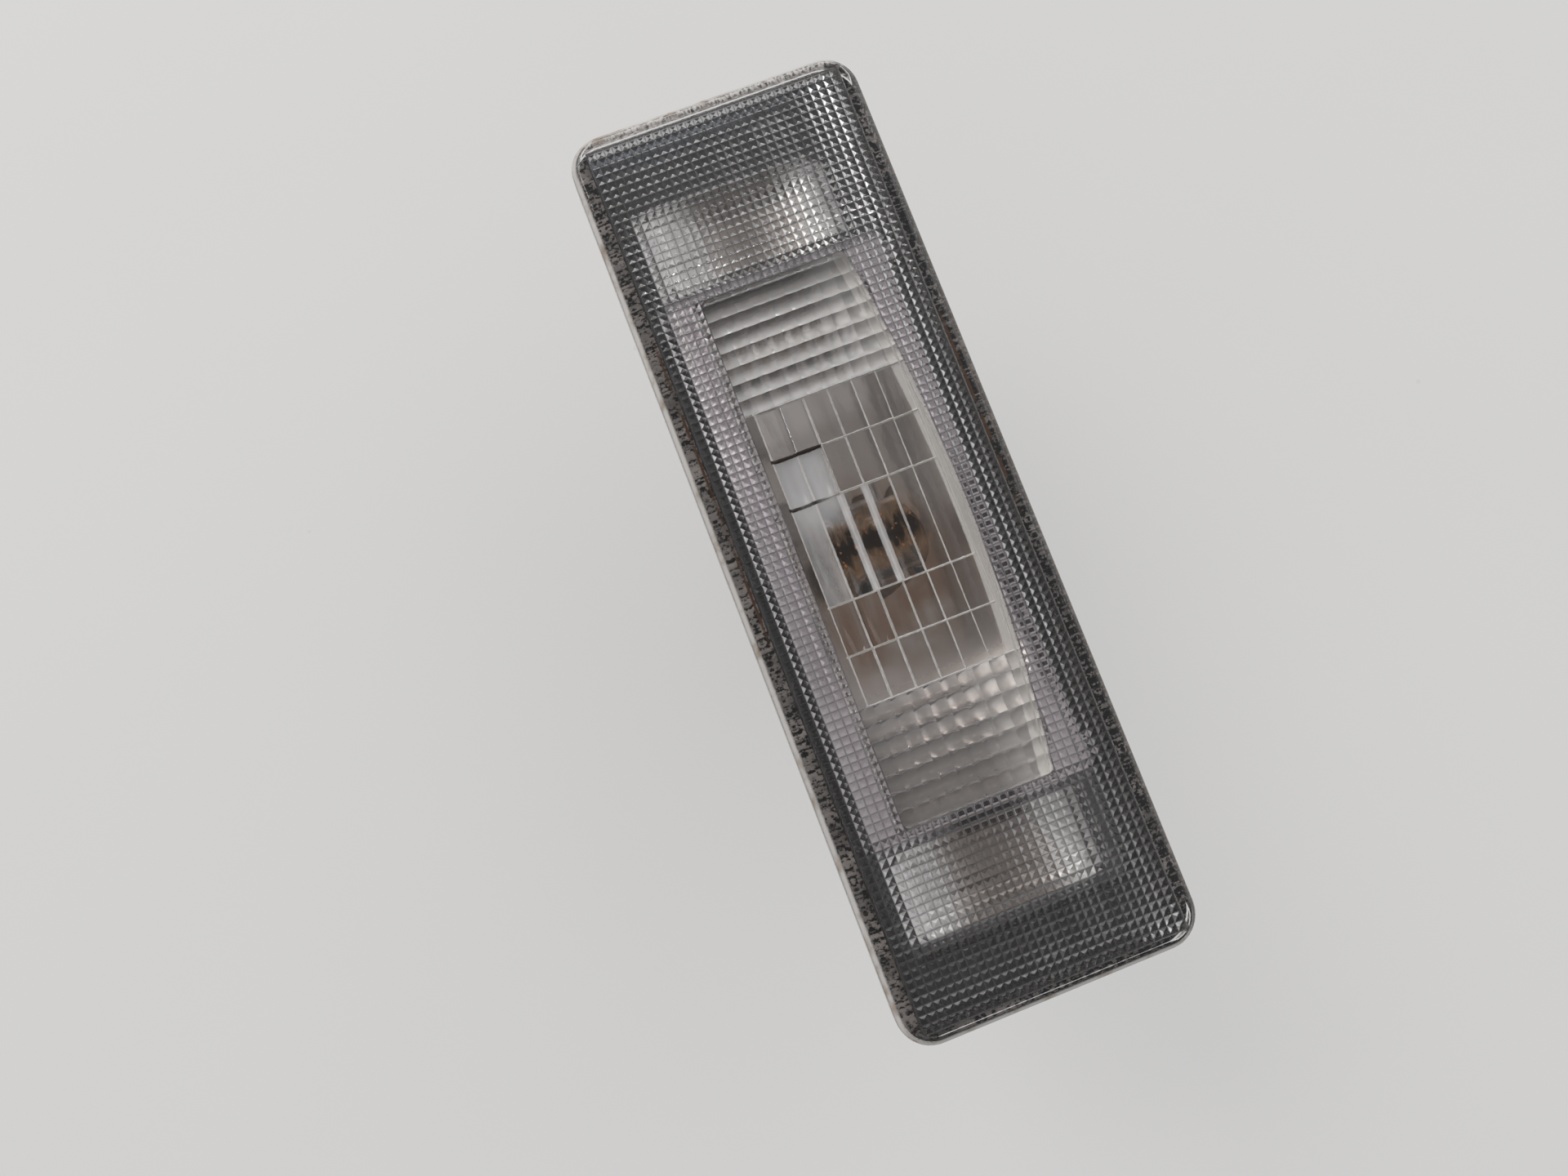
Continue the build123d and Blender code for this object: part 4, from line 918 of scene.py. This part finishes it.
def crowned_slab(start, pitch, counts, steps, sags, root_z):
    """Adds a slab with a grid of crowned cells on its underside."""
    size = Vector((pitch[0] * counts[0], pitch[1] * counts[1]))
    middle = start + size / 2
    bpy.ops.mesh.primitive_grid_add(
        x_subdivisions=counts[0] * steps[0],
        y_subdivisions=counts[1] * steps[1],
        size=1,
        location=(*middle, root_z),
    )
    slab = bpy.context.active_object
    slab.scale = (*size, 1)
    bpy.ops.object.transform_apply(location=True, rotation=False, scale=True)

    def step_in_cell(vertex, axis):
        return round((vertex.co[axis] - start[axis]) / pitch[axis] * steps[axis]) % steps[axis]

    for axis in (0, 1):
        for step in range(1, steps[axis]):
            drop = sags[axis] * (1 - (2 * step / steps[axis] - 1) ** 2)
            pick(slab, "vertices", lambda vertex: step_in_cell(vertex, axis) == step)
            bpy.ops.transform.translate(value=(0, 0, -drop))
    bpy.ops.mesh.select_mode(type="EDGE")
    bpy.ops.mesh.select_all(action="DESELECT")
    bpy.ops.mesh.select_non_manifold()
    bpy.ops.mesh.extrude_edges_move(TRANSFORM_OT_translate={"value": (0, 0, SLAB_THICKNESS)})
    bpy.ops.transform.resize(value=(1, 1, 0))
    bpy.ops.mesh.edge_face_add()
    bpy.ops.mesh.select_all(action="SELECT")
    bpy.ops.mesh.normals_make_consistent(inside=False)
    bpy.ops.object.mode_set(mode="OBJECT")
    return slab


def pillow_bed():
    """Adds the pillows of one end of the window, trimmed to the window's outline."""
    start = Vector((BLOCK_ZONE_HALF, WINDOW_NEAR))
    pitch = (PILLOW_PITCH, PILLOW_PITCH)
    bed = crowned_slab(start, pitch, PILLOW_COUNTS, PILLOW_STEPS, PILLOW_SAGS, window_z)
    return combine(bed, window_core(-PILLOW_TRIM, window_z - CUT_PAST, lens_high.z), "INTERSECT")


def recut_raised_blocks(lens):
    """Gives the blocks that stand proud faces that are crowned both ways."""
    for start, length, columns, height in RAISED_ROWS:
        face_z = window_z - height
        far = BLOCK_NEAR + columns * BLOCK_WIDTH
        low = Vector((start + BLOCK_GAP, BLOCK_NEAR + BLOCK_GAP, lens_low.z - CUT_PAST))
        high = Vector((start + length - BLOCK_GAP, far - BLOCK_GAP, face_z + ROOT))
        combine(lens, block(low, high), "DIFFERENCE")
        pitch = (high.x - low.x, (high.y - low.y) / columns)
        slab = crowned_slab(low.xy, pitch, (1, columns), RAISED_STEPS, RAISED_SAGS, face_z)
        combine(lens, slab, "UNION")


def mirrored(piece):
    """Copies a piece across the lamp's middle."""
    use(piece)
    bpy.ops.object.duplicate()
    twin = bpy.context.active_object
    bpy.ops.object.mode_set(mode="EDIT")
    bpy.ops.mesh.select_all(action="SELECT")
    bpy.ops.transform.mirror(constraint_axis=(True, False, False), center_override=(0, 0, 0))
    bpy.ops.mesh.flip_normals()
    bpy.ops.object.mode_set(mode="OBJECT")
    return twin


def round_rim(piece):
    """Rounds the two edges of the bevel round the lens face."""
    rim_z = lens_high.z - LENS_RIM - RIM_SLACK

    def on_rim(edge):
        ends = [piece.data.vertices[i].co.z for i in edge.vertices]
        return min(ends) > rim_z and abs(ends[0] - ends[1]) < LEVEL_SLACK

    pick(piece, "edges", on_rim)
    bpy.ops.mesh.bevel(offset=RIM_ROUND, segments=RIM_STEPS, profile=0.5, affect="EDGES")
    bpy.ops.object.mode_set(mode="OBJECT")


def bevel_blocks(piece):
    """Gives each flat block in the window a face that stands proud on four small bevels."""

    def is_block(face):
        in_zone = abs(face.center.x) < BLOCK_ZONE_HALF and face.center.z < window_z
        return in_zone and face.normal.z < FACING_DOWN and face.area > BLOCK_FACE

    pick(piece, "polygons", is_block)
    bpy.ops.mesh.inset(thickness=BLOCK_BEVEL, depth=BLOCK_PROUD, use_individual=True)
    bpy.ops.object.mode_set(mode="OBJECT")


def lens_piece():
    """The clear lens: the CAD shell and flat blocks, with finer prisms, domed pillows and crowned blocks."""
    low_z = lens_low.z - CUT_PAST
    cut_z = plate_z + PLATE_CUT
    flat_z = window_z + ROOT / 2
    lens = copy_of("lens", "clear_lens")
    round_rim(lens)
    bevel_blocks(lens)
    cutter = block(Vector((*CAVITY_LOW.xy, low_z)), Vector((*CAVITY_HIGH.xy, cut_z)))
    combine(cutter, window_core(WINDOW_MOAT / 2, low_z - CUT_PAST, cut_z + CUT_PAST), "DIFFERENCE")
    combine(lens, cutter, "DIFFERENCE")
    bed = prism_bed(plate_z - PRISM_VALLEY, cut_z + ROOT)
    combine(bed, window_core(WINDOW_MOAT, low_z, lens_high.z), "DIFFERENCE")
    combine(lens, bed, "UNION")
    pillows = pillow_bed()
    for pillow_end in (mirrored(pillows), pillows):
        side = math.copysign(1, pillow_end.data.vertices[0].co.x)
        ends = sorted((side * BLOCK_ZONE_HALF, side * (WINDOW_HALF + WINDOW_MOAT / 2)))
        old_pillows = block(
            Vector((ends[0], WINDOW_NEAR - WINDOW_MOAT / 2, low_z)),
            Vector((ends[1], WINDOW_FAR_MID + WINDOW_MOAT / 2, flat_z)),
        )
        combine(lens, old_pillows, "DIFFERENCE")
        combine(lens, pillow_end, "UNION")
    recut_raised_blocks(lens)
    use(lens)
    bpy.ops.object.shade_smooth_by_angle(angle=LENS_SMOOTH)
    return lens


def bulb_piece():
    """The bulb: a blown tube with a round tip, pressed flat at its foot."""
    middle = (bulb_low + bulb_high) / 2
    dome_z = bulb_high.z - BULB_RADIUS
    bpy.ops.mesh.primitive_cylinder_add(
        vertices=BULB_SIDES,
        radius=BULB_RADIUS,
        depth=dome_z - BULB_SHOULDER_Z,
        location=(middle.x, middle.y, (dome_z + BULB_SHOULDER_Z) / 2),
    )
    bulb = bpy.context.active_object
    bulb.name = "blown_bulb"
    bpy.ops.object.transform_apply(location=True, rotation=False, scale=False)

    def pick_cap(side):
        cap = max(bulb.data.polygons, key=lambda face: side * face.center.z).index
        pick(bulb, "polygons", lambda face: face.index == cap)

    pick_cap(1)
    for ring in range(1, DOME_RINGS):
        turn = math.pi / 2 * ring / DOME_RINGS
        before = math.pi / 2 * (ring - 1) / DOME_RINGS
        rise = BULB_RADIUS * (math.sin(turn) - math.sin(before))
        shrink = math.cos(turn) / math.cos(before)
        bpy.ops.mesh.extrude_region_move(TRANSFORM_OT_translate={"value": (0, 0, rise)})
        bpy.ops.transform.resize(value=(shrink, shrink, 1))
    bpy.ops.mesh.poke(offset=BULB_RADIUS * (1 - math.sin(math.pi / 2 * (1 - 1 / DOME_RINGS))))
    bpy.ops.object.mode_set(mode="OBJECT")
    pick_cap(-1)
    bpy.ops.mesh.extrude_region_move(TRANSFORM_OT_translate={"value": (0, 0, BULB_NECK_Z - BULB_SHOULDER_Z)})
    bpy.ops.transform.resize(
        value=(BULB_FOOT_HALF.x / BULB_RADIUS, BULB_FOOT_HALF.y / BULB_RADIUS, 1)
    )
    bpy.ops.mesh.extrude_region_move(TRANSFORM_OT_translate={"value": (0, 0, bulb_low.z - BULB_NECK_Z)})
    bpy.ops.object.mode_set(mode="OBJECT")
    wall = bulb.modifiers.new("wall", "SOLIDIFY")
    wall.thickness = BULB_GLASS
    wall.offset = -1.0
    bpy.ops.object.modifier_apply(modifier=wall.name)
    bpy.ops.object.shade_smooth_by_angle(angle=BULB_SMOOTH)
    return bulb


def coil_piece():
    """The filament: a fine coil between the two lead wires."""
    low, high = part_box("bulb_filament")
    middle = (low + high) / 2
    length = high.x - low.x
    bpy.ops.mesh.primitive_circle_add(
        vertices=COIL_SIDES,
        radius=COIL_WIRE,
        location=(low.x, middle.y, middle.z + COIL_RADIUS),
        rotation=(math.pi / 2, 0, 0),
    )
    coil = bpy.context.active_object
    coil.name = "filament_coil"
    bpy.context.scene.cursor.location = (low.x, middle.y, middle.z)
    bpy.ops.object.transform_apply(location=False, rotation=True, scale=False)
    bpy.ops.object.origin_set(type="ORIGIN_CURSOR")
    turns = coil.modifiers.new("turns", "SCREW")
    turns.axis = "X"
    turns.angle = 2 * math.pi * COIL_TURNS
    turns.screw_offset = length
    turns.steps = COIL_TURN_STEPS * COIL_TURNS
    turns.render_steps = turns.steps
    bpy.ops.object.modifier_apply(modifier=turns.name)
    bpy.ops.object.transform_apply(location=True, rotation=False, scale=False)
    bpy.ops.object.mode_set(mode="EDIT")
    bpy.ops.mesh.select_all(action="SELECT")
    bpy.ops.mesh.fill_holes(sides=COIL_SIDES)
    bpy.ops.mesh.normals_make_consistent(inside=False)
    bpy.ops.object.mode_set(mode="OBJECT")
    bpy.ops.object.shade_smooth_by_angle(angle=COIL_SMOOTH)
    return coil


def dress(piece, material):
    """Gives a piece one material."""
    piece.data.materials.clear()
    piece.data.materials.append(material)


def area_light(name, place, size, power, colour):
    """Adds a round soft lamp that looks at the origin."""
    bpy.ops.object.light_add(type="AREA", location=place)
    lamp = bpy.context.active_object
    lamp.name = name
    lamp.data.shape = "DISK"
    lamp.data.size = size
    lamp.data.energy = power
    lamp.data.color = colour
    lamp.rotation_euler = (-place).to_track_quat("-Z", "Y").to_euler()


def studio():
    """The floor, two soft lamps and a sky that is dark overhead and bright all round."""
    bpy.ops.mesh.primitive_plane_add(size=FLOOR_SIZE, location=(0, 0, cad_low.z))
    floor = bpy.context.active_object
    floor.name = "floor"
    bpy.ops.object.transform_apply(location=True, rotation=False, scale=False)
    dress(floor, floor_paint())
    left = Vector((-0.72, -0.4, 0.6))
    right = Vector((-0.42, 0.84, 0.5))
    area_light("left_lamp", left, size=0.65, power=4.2, colour=(1.0, 0.98, 0.95))
    area_light("right_lamp", right, size=1.05, power=2.7, colour=(0.97, 0.98, 1.0))
    world = bpy.data.worlds.new("studio_sky")
    bpy.context.scene.world = world
    world.use_nodes = True
    root = Shade(world.node_tree)
    look = root.add("ShaderNodeTexCoord", out="Generated")
    across = root.add("ShaderNodeSeparateXYZ", out="Y", inputs={0: look})
    up = root.add("ShaderNodeSeparateXYZ", out="Z", inputs={0: look})
    walls = abs(across).step(*SIDE_WALLS).mix(*WALL_SHADES)
    sky = up.step(*OVERHEAD).mix(walls, SKY_OVERHEAD)
    world.node_tree.links.new(sky.socket, world.node_tree.nodes["Background"].inputs["Color"])


def photo_camera():
    """Sets the camera where the photograph was taken from."""
    bpy.ops.object.camera_add()
    camera = bpy.context.active_object
    camera.data.lens = CAMERA_LENS
    camera.data.sensor_width = CAMERA_SENSOR
    camera.data.clip_start = CAMERA_NEAR
    back = -CAMERA_LOOK.normalized()
    right = CAMERA_UP.cross(back).normalized()
    up = back.cross(right)
    turn = Matrix((right, up, back)).transposed().to_4x4()
    camera.matrix_world = Matrix.Translation(CAMERA_PLACE) @ turn
    bpy.context.scene.camera = camera


bpy.context.scene.view_settings.view_transform = "Standard"

lens = lens_piece()
dress(lens, clear_plastic())
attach(lens, "root")
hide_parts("lens")

bulb = bulb_piece()
dress(bulb, bulb_glass_finish())
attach(bulb, "root")
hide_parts("bulb_glass")

tungsten = bare_metal("filament_metal", TUNGSTEN_SHADES, rough=0.4, grain=0.2 * MM, stretch=(1, 1, 1))
coil = coil_piece()
dress(coil, tungsten)
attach(coil, "root")
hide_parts("bulb_filament")

black_rubber = seal_rubber()
drawn_wire = bare_metal("wire_metal", WIRE_SHADES, rough=0.3, grain=0.3 * MM, stretch=(1, 1, 0.1))
stamped_brass = bare_metal("contact_brass", BRASS_SHADES, rough=0.22, grain=0.5 * MM, stretch=(1, 1, 0.1))
spring_steel = bare_metal("clip_steel", STEEL_SHADES, rough=0.24, grain=0.4 * MM, stretch=(1, 0.06, 1))
node_finishes = {
    "housing": housing_plastic(),
    "reflector": metallised_plastic(),
    "lens_seal": black_rubber,
    "holder_seal": black_rubber,
    "bulb_wire_left": drawn_wire,
    "bulb_wire_right": drawn_wire,
    "bulb_holder": holder_plastic(),
    "contact_left": stamped_brass,
    "contact_right": stamped_brass,
    "spring_clip": spring_steel,
    "panel_gasket": gasket_foam(),
}
for node_name, material in node_finishes.items():
    dress(nodes[node_name], material)

studio()
photo_camera()
